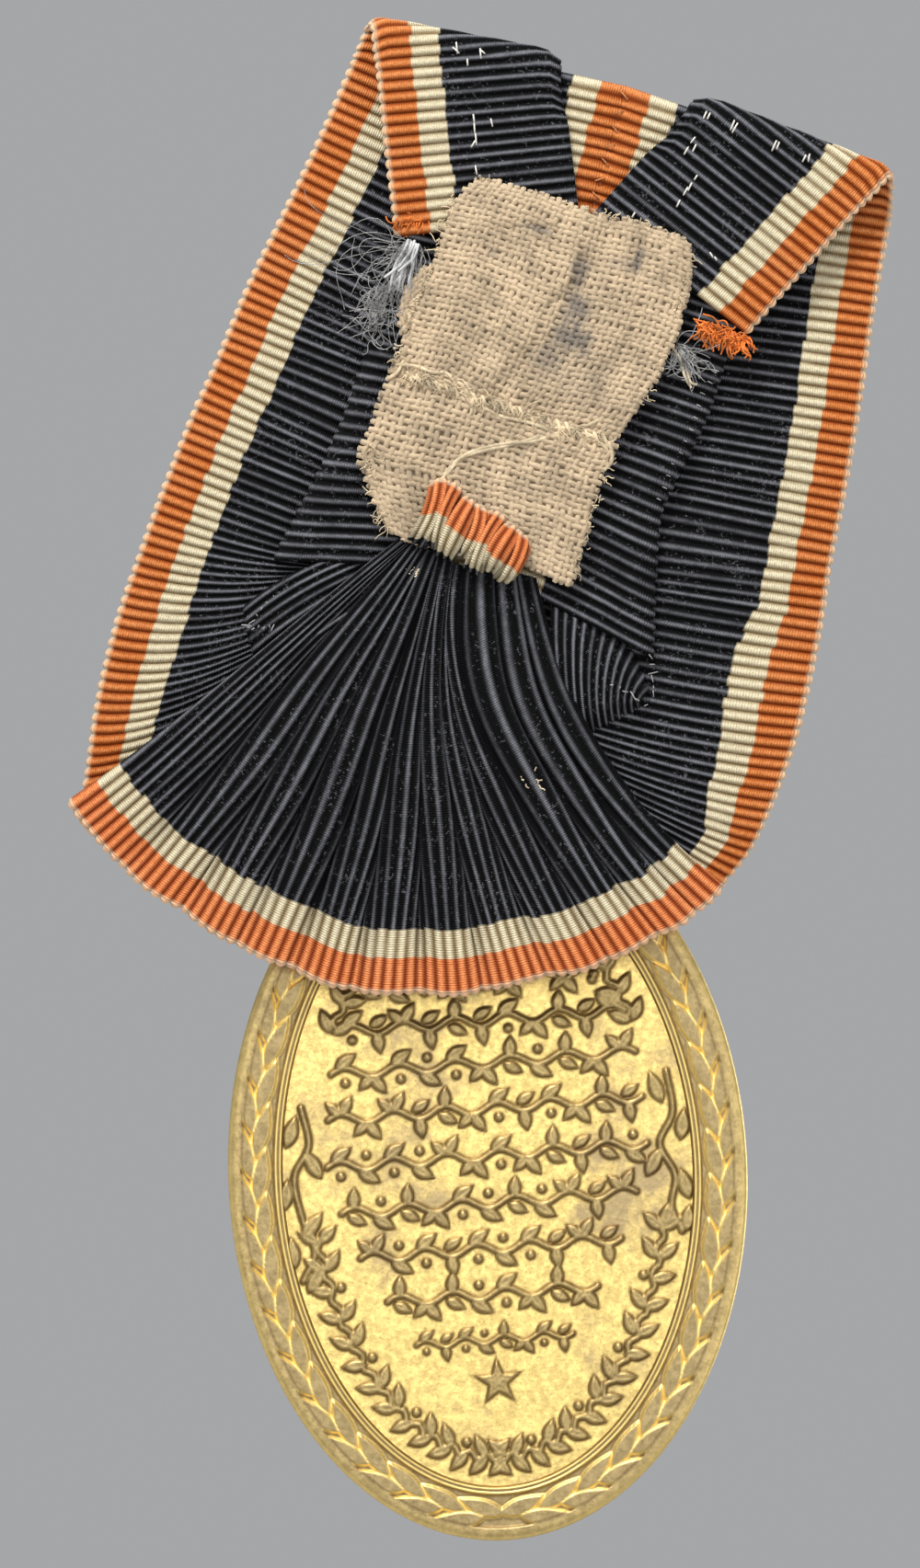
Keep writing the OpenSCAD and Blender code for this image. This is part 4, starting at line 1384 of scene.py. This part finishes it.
def sprig_row(relief, a, b, step=2.15, size=1.0, seed=0):
    """A row of small sprigs between two points: a waved stem with leaves and berries."""
    a, b = np.array(a, float), np.array(b, float)
    length = np.linalg.norm(b - a)
    along = (b - a) / length
    up = np.array([-along[1], along[0]])
    lean = math.atan2(along[1], along[0])
    count = max(int(length / (step * size)), 1)
    rng = np.random.default_rng(seed)
    cell = length / count
    t = np.linspace(0, length, count * 8 + 1)
    stem = a + t[:, None] * along + (0.34 * size * np.sin(t / cell * np.pi))[:, None] * up
    relief.stroke(stem, 0.17 * size)
    for k in range(count):
        at = a + along * cell * (k + 0.5)
        side = 1 if k % 2 == 0 else -1
        kind = rng.integers(0, 3)
        crest = at + up * 0.34 * side * size
        if kind == 0:
            relief.leaf(crest + (along * 0.34 + up * 0.50 * side) * size, lean + side * 0.95,
                        1.45 * size, 0.74 * size, 0.04)
            relief.leaf(crest + (-along * 0.46 + up * 0.34 * side) * size, lean + math.pi - side * 0.75,
                        1.25 * size, 0.66 * size, 0.04)
        elif kind == 1:
            relief.leaf(crest + up * 0.55 * side * size, lean + side * 1.45, 1.4 * size, 0.76 * size, 0.04)
            relief.leaf(at - up * 0.46 * side * size + along * 0.1, lean - side * 0.5,
                        1.3 * size, 0.66 * size, 0.04)
        else:
            relief.leaf(crest + (along * 0.1 + up * 0.42 * side) * size, lean + side * 0.55,
                        1.55 * size, 0.78 * size, 0.04)
            relief.stroke([at - up * 0.62 * side * size, at - up * 0.621 * side * size], 0.26 * size)


def round_sprigs(relief, start, stop, inset, count, flip=False):
    """Leaf pairs round the oval between two places, as shares of its length from the foot."""
    n = 2400
    line, normal, _ = oval_line(inset, n)
    share = np.linspace(start, stop, count)
    sign = -1 if flip else 1
    stem = [line[int(round(s * n)) % n] for s in np.linspace(start, stop, count * 5)]
    relief.stroke([q + normal[int(round(s * n)) % n] * 0.22 * math.sin(k * 1.25)
                   for k, (q, s) in enumerate(zip(stem, np.linspace(start, stop, count * 5)))], 0.18)
    for k, s in enumerate(share):
        i = int(round(s * n)) % n
        q, m = line[i], normal[i]
        tangent = np.array([-m[1], m[0]]) * sign
        lean = math.atan2(tangent[1], tangent[0])
        for side in (1, -1):
            if k % 3 == 2 and side == -1:
                relief.stroke([q - m * 0.66, q - m * 0.661], 0.27)
                continue
            swing = 0.75 + 0.2 * ((k * 7) % 3)
            relief.leaf(q + m * 0.60 * side + tangent * 0.12, lean - side * sign * swing, 1.6, 0.78, 0.04)


def twig(relief, line, leaves):
    q = smooth_line(line, 8)
    relief.stroke(q, 0.18)
    for at, angle, length in leaves:
        relief.leaf(at, math.radians(angle), length * 1.1, 0.92, 0.045)


def reverse_relief(x, y):
    """The struck back: rows of sprigs between two twigs, a small star and a wreath round the rim."""
    relief = Relief(x, y)
    slope = 0.035
    for k, (q, half, size) in enumerate(((15.4, 6.8, 1.0), (12.4, 8.2, 1.0), (9.7, 9.3, 1.0), (7.0, 9.9, 1.0),
                                         (4.1, 10.2, 1.0), (1.1, 10.4, 1.0), (-1.9, 9.6, 1.0),
                                         (-4.8, 8.5, 1.0), (-7.7, 6.9, 1.0), (-10.6, 5.2, 0.72))):
        sprig_row(relief, (-half + 0.2, q - slope * half), (half - 0.2, q + slope * half), 1.62, size, 50 + k)
    near, gap, _ = relief.star((0.1, -13.3), 1.45, turn=0.05)
    relief.vein[near] = np.maximum(relief.vein[near], bell(gap, -0.24, 0.06) * (gap < 0))
    round_sprigs(relief, 0.0, 0.215, 5.3, 14)
    round_sprigs(relief, 1.0, 0.785, 5.3, 14, True)
    round_sprigs(relief, 0.345, 0.43, 5.3, 6)
    round_sprigs(relief, 0.655, 0.60, 5.3, 4, True)
    twig(relief, [(-11.7, 4.6), (-11.3, 2.2), (-12.3, 0.2), (-11.9, -2.4), (-11.2, -4.6), (-12.0, -6.4)],
         [((-12.4, 3.1), 70, 1.9), ((-11.1, 1.0), 120, 1.9), ((-12.9, -0.9), 80, 1.8),
          ((-11.3, -2.9), 50, 1.9), ((-12.6, -4.6), 95, 1.8), ((-11.2, -6.3), 60, 1.8)])
    twig(relief, [(11.6, 6.0), (11.9, 3.4), (11.0, 1.4), (11.9, -0.6), (11.6, -2.6), (12.2, -4.2)],
         [((10.9, 5.0), 110, 1.9), ((12.5, 2.6), 80, 1.8), ((10.6, 0.3), 60, 1.9), ((12.5, -1.2), 105, 1.8),
          ((11.2, -3.3), 75, 1.8), ((12.6, -3.4), 80, 1.5)])
    return relief


def obverse_relief(x, y):
    """A plain design for the struck front: a star on rays between two branches."""
    relief = Relief(x, y)
    for k in range(48):
        a = 2 * math.pi * k / 48
        r0, r1 = (5.2, 8.4) if k % 2 else (5.2, 7.0)
        relief.stroke([(r0 * math.sin(a), 2.6 + r0 * math.cos(a)),
                       (r1 * math.sin(a), 2.6 + r1 * math.cos(a))], 0.10)
    for side in (-1, 1):
        line = smooth_line([(side * 0.6, -14.6), (side * 5.5, -12.8), (side * 9.2, -7.6), (side * 10.6, -0.5),
                            (side * 9.6, 6.8), (side * 6.6, 12.6)], 10)
        relief.stroke(line, 0.16)
        for i in range(4, len(line) - 2, 4):
            d = line[i + 1] - line[i]
            lean = math.atan2(d[1], d[0])
            for turn in (-0.55, 0.55):
                reach = np.array([math.cos(lean + turn), math.sin(lean + turn)])
                relief.leaf(line[i] + reach * 1.1, lean + turn, 2.4, 0.85)
    near, gap, fold = relief.star((0, 2.6), 4.6, 8, 0.55)
    ridge = bell(np.minimum(fold, np.pi / 8 - fold), 0, 0.03) * (gap < -0.1) * 0.8
    relief.vein[near] = np.maximum(relief.vein[near], ridge)
    sprig_row(relief, (-4.2, -16.6), (4.2, -16.6), 1.95, 0.9, 90)
    return relief


def border_relief(side_s, inset, half_turn):
    """The wreath in the border: side_s is the length from the foot, inset from the rim."""
    relief = Relief(side_s, inset)
    step = 3.05
    for k in range(int(half_turn / step) + 1):
        s = 1.6 + k * step
        relief.leaf((s, 2.08), 0.17, 3.9, 1.12, 0)
        relief.leaf((s + step / 2, 1.06), -0.24, 3.8, 1.12, 0)
    return relief


def brass_finish(name):
    """Brass that is painted dark beside the ornament as shade, bright on its edges and worn in places."""
    setup = bpy.context.scene.medal_disc
    p = Paint(name, Metallic=1.0, Roughness=0.42)
    cavity = p.node("Attribute", attribute_name="outline").outputs["Fac"]
    dull = p.node("Attribute", attribute_name="dull").outputs["Fac"]
    grain = p.noise(5200, 3, 0.65)
    speck = p.noise(2100, 3, 0.6)
    cloud = p.noise(150, 5, 0.62)
    blot = p.noise(300, 5, 0.7)
    bright = p.node("Attribute", attribute_name="bright").outputs["Fac"]
    clean = p.mix(p.between(speck, 0.32, 0.70), [c * 0.74 for c in setup.brass],
                  [min(c * 1.12, 1) for c in setup.brass])
    smoky = p.math("MULTIPLY", p.between(cloud, 0.50, 0.68), p.between(blot, 0.30, 0.62))
    clean = p.mix(p.math("MULTIPLY", smoky, 0.85), clean, (0.36, 0.27, 0.15))
    clean = p.mix(p.math("MULTIPLY", p.between(grain, 0.54, 0.70), 0.55), clean,
                  [c * 0.42 for c in setup.brass])
    worn = p.mix(p.between(speck, 0.3, 0.7), (0.33, 0.245, 0.115), (0.47, 0.355, 0.17))
    worn = p.mix(p.math("MULTIPLY", p.between(grain, 0.55, 0.72), 0.5), worn, (0.20, 0.14, 0.06))
    base = p.mix(dull, clean, worn)
    base = p.mix(p.math("MULTIPLY", bright, p.math("MULTIPLY_ADD", blot, 0.6, 0.75)), base,
                 [min(c * 1.18, 1) for c in setup.brass])
    # painted shade in the corners of the relief, from the outline attribute
    base = p.mix(p.math("MULTIPLY", cavity, p.math("MULTIPLY_ADD", blot, 0.7, 0.62)), base, setup.crevice_shade)
    p.give("Base Color", base)
    rough = p.math("MULTIPLY_ADD", grain, 0.26, 0.26)
    rough = p.math("ADD", rough, p.math("MULTIPLY", cavity, 0.2))
    p.give("Roughness", p.math("ADD", rough, p.math("MULTIPLY", dull, 0.10)))
    p.bump(p.math("ADD", p.math("MULTIPLY", grain, 0.8), speck), 0.00003, 0.7)
    return p.material


def disc_border(name, material_):
    """The rim and the wreath on both sides, as one closed ring."""
    n = 1240
    line, normal, total = oval_line(0, n)
    r = np.r_[0, 0, 0.02, 0.07, 0.16, 0.30, 0.5, 0.68, 0.76, np.linspace(0.84, 2.9, 26), 2.94, 2.98, 3.02,
              3.06, 3.10, 3.16, 3.22, 3.26, 3.30, 3.34, 3.38, 3.44, 3.52]
    s = np.arange(n) * total / n
    S, R = np.meshgrid(np.minimum(s, total - s), r, indexing="ij")
    relief = border_relief(S.ravel(), R.ravel(), total / 2)
    height = relief.height().reshape(S.shape)
    gap = relief.gap.reshape(S.shape)
    band = soft(R, 0.76, 0.90) * (1 - soft(R, 2.84, 2.94))
    depth = bpy.context.scene.medal_disc.relief / MM
    edge = np.interp(r, [0, 0.02, 0.07, 0.16, 0.30, 0.5], [0.80, 0.93, 1.02, 1.10, 1.16, RIM_Y])
    y = np.where(R <= 0.5, edge, RIM_Y)
    y[:, 0] = 0.0
    y = y - band * (0.24 - depth * 1.05 * height)
    lines = bell(R, 3.03, 0.065) + bell(R, 3.30, 0.065)
    y = y - soft(R, 2.84, 2.96) * 0.10 - soft(R, 3.38, 3.5) * 0.42 + 0.07 * lines
    # painted shade just outside the wreath's leaves, at the rim's inner step and in the grooves of the rim
    outer = bell(gap, 0.15, 0.07)
    crevice_shade = band * outer * 0.55 + bell(R, 0.88, 0.06) * 0.6 + bell(R, 3.165, 0.045) * 0.7
    crevice_shade = crevice_shade + bell(R, 3.45, 0.07) * 0.8 + bell(R, 2.90, 0.04) * 0.4
    shine = 1.6 * band * bell(gap, -0.03, 0.085) + bell(R, 3.03, 0.06) + bell(R, 3.30, 0.06)
    shine = shine + 0.5 * bell(R, 0.12, 0.12) * (R > 0)
    dull = np.clip(0.70 + 0.30 * soft(R, 0.5, 0.8), 0, 1) * (1 - 0.35 * soft(R, 3.2, 3.5))
    parts, marks, dulls, shines = [], [], [], []
    p = line[:, None, :] - R[..., None] * normal[:, None, :]
    for side in (1, -1):
        order = slice(None) if side == 1 else slice(None, 0, -1)
        parts.append(on_disc(p[..., 0], p[..., 1], side * y)[:, order])
        marks.append(crevice_shade[:, order])
        dulls.append(dull[:, order])
        shines.append(shine[:, order])
    points = np.concatenate(parts, axis=1)
    rows, cols = points.shape[:2]
    i, j = np.meshgrid(np.arange(rows), np.arange(cols), indexing="ij")
    i2, j2 = (i + 1) % rows, (j + 1) % cols
    faces = np.stack([i * cols + j, i * cols + j2, i2 * cols + j2, i2 * cols + j], -1).reshape(-1, 4)
    obj = new_object(name, points.reshape(-1, 3), faces, material_, "disc",
                     [("outline", np.clip(np.concatenate(marks, axis=1), 0, 1)),
                      ("dull", np.concatenate(dulls, axis=1)),
                      ("bright", np.clip(np.concatenate(shines, axis=1), 0, 1))])
    outwards(obj)
    return obj


def outwards(obj):
    """Turns a closed mesh right side out."""
    bm = bmesh.new()
    bm.from_mesh(obj.data)
    bmesh.ops.recalc_face_normals(bm, faces=bm.faces)
    bm.to_mesh(obj.data)
    bm.free()


def disc_field(name, material_, ornament, side, cell):
    """The struck field of one face: fine relief on a closed plate under the border's line."""
    x = np.arange(-13.6, 13.6 + cell, cell)
    z = np.arange(-20.5, 20.5 + cell, cell)
    X, Z = np.meshgrid(x, z, indexing="ij")
    inside = (X / (HALF_W - 3.28)) ** 2 + (Z / (HALF_H - 3.28)) ** 2 < 1
    relief = ornament(X.ravel(), Z.ravel())
    height = relief.height().reshape(X.shape)
    depth = bpy.context.scene.medal_disc.relief / MM
    dent = 0.012 * wave((X, 0.8, 1.0), (Z, 0.7, 2.0)) * np.ones_like(X)
    y = FIELD_Y + dent + depth * height + 0.05 * (1 - np.minimum((X / 13.2) ** 2 + (Z / 20.1) ** 2, 1))
    number = np.full(X.shape, -1)
    cells = inside[:-1, :-1] & inside[1:, :-1] & inside[1:, 1:] & inside[:-1, 1:]
    used = np.zeros(X.shape, bool)
    used[:-1, :-1] |= cells
    used[1:, :-1] |= cells
    used[1:, 1:] |= cells
    used[:-1, 1:] |= cells
    number[used] = np.arange(used.sum())
    i, j = np.nonzero(cells)
    faces = np.stack([number[i, j], number[i + 1, j], number[i + 1, j + 1], number[i, j + 1]], -1)
    mirror = 1 if side == 1 else -1
    points = on_disc(X[used] * mirror, Z[used], side * y[used])
    outline = relief.outline().reshape(X.shape)[used]
    dull = np.clip(0.85 * height[used], 0, 1)
    # skirt and flat back that close the plate
    edge_count = {}
    for f in faces:
        for a, b in zip(f, np.roll(f, -1)):
            edge_count[(a, b)] = 1
    rim = {a: b for a, b in edge_count if (b, a) not in edge_count}
    start = next(iter(rim))
    loop, here = [start], rim[start]
    while here != start:
        loop.append(here)
        here = rim[here]
    loop = np.array(loop)
    low = points[loop].copy()
    low[:, 1] = RING_Y + side * 0.05
    n = len(points)
    k = np.arange(len(loop))
    skirt = np.stack([loop[k], k + n, (k + 1) % len(loop) + n, loop[(k + 1) % len(loop)]], -1)
    centre = np.array([[*on_disc(0.0, 0.0, side * 0.05)]])
    hub = n + len(loop)
    back = np.stack([k + n, np.full(len(loop), hub), (k + 1) % len(loop) + n], -1)
    back = np.concatenate([back, back[:, :1]], 1)
    allpoints = np.concatenate([points, low, centre])
    mesh_faces = ([tuple(f) for f in np.concatenate([faces, skirt]).tolist()]
                  + [tuple(f[:3]) for f in back.tolist()])
    pad = np.zeros(len(loop) + 1)
    obj = new_object(name, allpoints, mesh_faces, material_, "disc",
                     [("outline", np.r_[outline, pad]), ("dull", np.r_[dull, pad])])
    outwards(obj)
    return obj


class MEDAL_OT_disc(bpy.types.Operator):
    """Make the struck disc: its wreathed border and the relief on both faces"""
    bl_idname = "medal.disc"
    bl_label = "Disc"

    def execute(self, context):
        brass = material("struck_brass", brass_finish)
        border = disc_border("medal_border", brass)
        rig.replaces(border, "medal_disc")
        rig.slot(border, "struck_bronze")
        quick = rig.quick()
        for name, ornament, side, cell in (("medal_reverse", reverse_relief, 1, 0.16 if quick else 0.105),
                                           ("medal_obverse", obverse_relief, -1, 0.3 if quick else 0.16)):
            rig.slot(disc_field(name, brass, ornament, side, cell), "struck_bronze")
        return {"FINISHED"}


# -------------------------------------------------------------- suspension

def wire_finish(name, colour, worn):
    p = Paint(name, Metallic=1.0, Roughness=0.32)
    tone, fine = p.noise(420, 4), p.noise(4200, 3)
    base = p.mix(p.between(tone, 0.35, 0.65), colour, worn)
    p.give("Base Color",
           p.mix(p.math("MULTIPLY", p.between(fine, 0.55, 0.75), 0.5), base, [c * 0.4 for c in colour]))
    p.give("Roughness", p.math("MULTIPLY_ADD", fine, 0.3, 0.2))
    p.bump(p.noise(3000, 4), 0.00003, 0.6)
    return p.material


def bar_finish(name):
    p = Paint(name, Roughness=0.85, Specular_IOR_Level=0.15, Sheen_Weight=0.2)
    place = p.place()
    xyz = p.node("SeparateXYZ", {0: place})
    turn = p.math("SINE", p.math("MULTIPLY", xyz.outputs[0], 14000.0))
    base = p.mix(p.between(turn, -0.8, 0.6), (0.03, 0.025, 0.02), (0.16, 0.13, 0.09))
    p.give("Base Color", p.mix(p.math("MULTIPLY", p.noise(3000, 3), 0.5), base, (0.20, 0.17, 0.12)))
    p.bump(turn, 0.00006, 0.8)
    return p.material


def lathe(name, profile, centre, axis, finish, body, sides=64):
    """Turns a closed profile of (radius, along) pairs round an axis."""
    axis = Vector(axis).normalized()
    first = axis.orthogonal().normalized()
    second = axis.cross(first)
    a = np.linspace(0, 2 * np.pi, sides, endpoint=False)
    profile = np.asarray(profile, float)
    c, s = np.cos(a)[:, None, None], np.sin(a)[:, None, None]
    ring = c * np.array(first) + s * np.array(second)
    points = np.array(centre) + ring * profile[None, :, :1] + np.array(axis) * profile[None, :, 1:]
    rows, cols = points.shape[:2]
    i, j = np.meshgrid(np.arange(rows), np.arange(cols), indexing="ij")
    faces = np.stack([i * cols + j, ((i + 1) % rows) * cols + j, ((i + 1) % rows) * cols + (j + 1) % cols,
                      i * cols + (j + 1) % cols], -1)
    obj = new_object(name, points.reshape(-1, 3), faces.reshape(-1, 4), finish, body)
    outwards(obj)
    return obj


class MEDAL_OT_suspension(bpy.types.Operator):
    """Make the ball eyelet, the wire ring, the link and the thread bar"""
    bl_idname = "medal.suspension"
    bl_label = "Suspension"

    def execute(self, context):
        bronze = material("eyelet_bronze", wire_finish, (0.52, 0.36, 0.13), (0.74, 0.54, 0.24))
        brass = material("ring_brass", wire_finish, (0.62, 0.44, 0.18), (0.84, 0.64, 0.32))
        swing = np.array([9.88, -30.23]) / 31.8
        ball = np.array([-swing[0] * RING_R, RING_Y, RING_CENTRE[2] + swing[1] * RING_R])
        radius, bore = 1.9, 0.95
        low = math.asin((bore + 0.12) / radius)
        turn = np.linspace(low, math.pi - low, 33)
        outer = [(radius * math.sin(t), -radius * math.cos(t)) for t in turn]
        half = -outer[0][1]
        lip = [(bore + 0.03, half - 0.06), (bore, half - 0.16), (bore, 0), (bore, -half + 0.16),
               (bore + 0.03, -half + 0.06)]
        # the bore runs along the ring's wire
        obj = lathe("ball_eyelet", outer + lip, ball, (-swing[1], 0, -swing[0]), bronze, "disc", 72)
        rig.replaces(obj, "ball_eyelet")
        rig.slot(obj, "struck_bronze")
        # the struck collar that joins the ball to the oval
        t = np.linspace(0, 1, 9)
        reach = 1.25 + 1.0 * t
        collar = [(0.95 + 0.55 * (1 - math.cos(x * math.pi / 2)), r) for x, r in zip(t, reach)]
        collar = [(0.02, reach[0])] + collar + [(0.02, reach[-1])]
        obj = lathe("eyelet_collar", collar, ball, (-swing[0], 0, swing[1]), bronze, "disc", 40)
        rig.slot(obj, "struck_bronze")
        # a round wire ring, its ends butted at the top left
        a = np.radians(np.linspace(128, 128 + 359.0, 150))
        ring = [(RING_R * math.cos(x), RING_Y, RING_CENTRE[2] + RING_R * math.sin(x)) for x in a]
        ring_wire, link_wire, play = 0.55, 0.4, 0.1
        obj = threads("suspension_ring", [ring], ring_wire, brass, 22, "ring")
        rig.replaces(obj, "suspension_ring")
        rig.slot(obj, "brass_wire")
        bend = ring_wire + play + link_wire
        bar, top = np.array(BAR), np.array([0, RING_Y, RING_CENTRE[2] + RING_R])
        down = (top - bar) / np.linalg.norm(top - bar)
        path = []
        for x in np.linspace(0, math.pi, 17):
            path.append(bar + np.array([bend * math.cos(x), 0, 0]) - down * bend * math.sin(x))
        for x in np.linspace(math.pi, 2 * math.pi, 17):
            path.append(top + np.array([bend * math.cos(x), 0, 0]) - down * bend * math.sin(x))
        obj = threads("hanging_link", [path], link_wire, brass, 18, "link", closed=True)
        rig.replaces(obj, "hanging_link")
        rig.slot(obj, "brass_wire")
        half = 2.2
        post = [(-half, INNER_Y - 0.2), (-half, BAR[1] + 0.5), (-half + 0.15, BAR[1] + 0.12),
                (-half + 0.5, BAR[1])]
        line = [(-x, y, BAR[2]) for x, y in post] + [(x, y, BAR[2]) for x, y in reversed(post)]
        obj = threads("thread_bar", [smooth_line(line, 6)], 0.42, material("bar_thread", bar_finish), 16)
        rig.replaces(obj, "thread_bar")
        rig.slot(obj, "dark_thread")
        return {"FINISHED"}


# ------------------------------------------------------------------- stage

def lamp(name, place, aim, size, power, colour=(1, 1, 1)):
    data = bpy.data.lights.new(name, "AREA")
    data.shape = "DISK"
    data.size = size
    data.energy = power
    data.color = colour
    obj = bpy.data.objects.new(name, data)
    obj.location = place
    obj.rotation_euler = (Vector(aim) - Vector(place)).to_track_quat("-Z", "Y").to_euler()
    bpy.context.scene.collection.objects.link(obj)


class MEDAL_OT_stage(bpy.types.Operator):
    """Make the pale floor, the soft lamps, the surroundings and the camera"""
    bl_idname = "medal.stage"
    bl_label = "Stage"

    def execute(self, context):
        setup = context.scene.medal_stage
        gap, radius, n = 0.032, 0.3, 48
        low = CAD_BOX[0][2] - gap
        ring = [(radius * math.cos(2 * math.pi * i / n), radius * math.sin(2 * math.pi * i / n), low)
                for i in range(n)]
        mesh = bpy.data.meshes.new("floor")
        mesh.from_pydata(ring, [], [list(range(n))])
        paint = Paint("floor_paper", Roughness=0.9, Specular_IOR_Level=0.1)
        tone = paint.noise(40, 4)
        paint.give("Base Color", paint.mix(tone, [c * 0.985 for c in setup.floor], setup.floor))
        paint.bump(paint.noise(900, 3), 0.0001, 0.3)
        mesh.materials.append(paint.material)
        floor = bpy.data.objects.new("floor", mesh)
        context.scene.collection.objects.link(floor)
        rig.stage(floor)

        world = bpy.data.worlds.new("surroundings")
        world.use_nodes = True
        back = world.node_tree.nodes["Background"]
        back.inputs["Color"].default_value = (0.86, 0.87, 0.89, 1)
        back.inputs["Strength"].default_value = 0.44
        context.scene.world = world
        context.scene.view_settings.view_transform = "Standard"

        middle = (-0.0015, 0, -0.031)
        lamp("key", (0.20, 0.26, 0.36), middle, 0.18, setup.key_power)
        lamp("fill", (-0.34, 0.40, -0.02), middle, 0.35, setup.key_power * 0.22)
        lamp("sheen", (0.10, 0.85, 0.08), middle, 0.45, setup.key_power * 0.55)
        lamp("front_key", (0.22, -0.46, 0.30), middle, 0.28, setup.key_power * 0.95)
        lamp("front_fill", (-0.38, -0.30, 0.05), middle, 0.35, setup.key_power * 0.35)

        # looks from behind, rolled so that the ribbon's top leans right
        data = bpy.data.cameras.new("camera")
        data.sensor_width = 36
        distance, frame_height = 0.9, 0.09923
        data.lens = 36 * distance / frame_height
        data.clip_start, data.clip_end = 0.01, 20
        camera = bpy.data.objects.new("camera", data)
        right, up, behind = Vector((-0.9627, 0, 0.2706)), Vector((0.2706, 0, 0.9627)), Vector((0, 1, 0))
        turn = Matrix((right, up, behind)).transposed().to_4x4()
        camera.matrix_world = Matrix.Translation(Vector((-0.00149, 0, -0.03081)) + behind * distance) @ turn
        context.scene.collection.objects.link(camera)
        context.scene.camera = camera
        return {"FINISHED"}


SETTINGS = (("medal_ribbon", RibbonSettings), ("medal_linen", LinenSettings),
            ("medal_disc", DiscSettings), ("medal_stage", StageSettings))
OPERATORS = (MEDAL_OT_legs, MEDAL_OT_inner_folds, MEDAL_OT_fan, MEDAL_OT_stitches, MEDAL_OT_frays,
             MEDAL_OT_linen, MEDAL_OT_disc, MEDAL_OT_suspension, MEDAL_OT_stage)


class MEDAL_PT_panel(bpy.types.Panel):
    """Lists the medal's settings and its pieces"""
    bl_idname = "MEDAL_PT_panel"
    bl_label = "Service medal"
    bl_space_type = "VIEW_3D"
    bl_region_type = "UI"
    bl_category = "Medal"

    def draw(self, context):
        for key, group in SETTINGS:
            box = self.layout.box()
            for prop in group.__annotations__:
                box.prop(getattr(context.scene, key), prop)
        for operator in OPERATORS:
            self.layout.operator(operator.bl_idname)


def register():
    for key, group in SETTINGS:
        bpy.utils.register_class(group)
        setattr(bpy.types.Scene, key, bpy.props.PointerProperty(type=group))
    for item in (*OPERATORS, MEDAL_PT_panel):
        bpy.utils.register_class(item)


def unregister():
    for item in (MEDAL_PT_panel, *reversed(OPERATORS)):
        bpy.utils.unregister_class(item)
    for key, group in reversed(SETTINGS):
        delattr(bpy.types.Scene, key)
        bpy.utils.unregister_class(group)


def main():
    register()
    for operator in OPERATORS:
        family, action = operator.bl_idname.split(".")
        getattr(getattr(bpy.ops, family), action)()
    sizes = {"cad": CAD_BOX, "visual": [list(corner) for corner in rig.bounds()]}
    with open("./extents.json", "w") as out:
        json.dump(sizes, out)


if __name__ == "__main__":
    main()
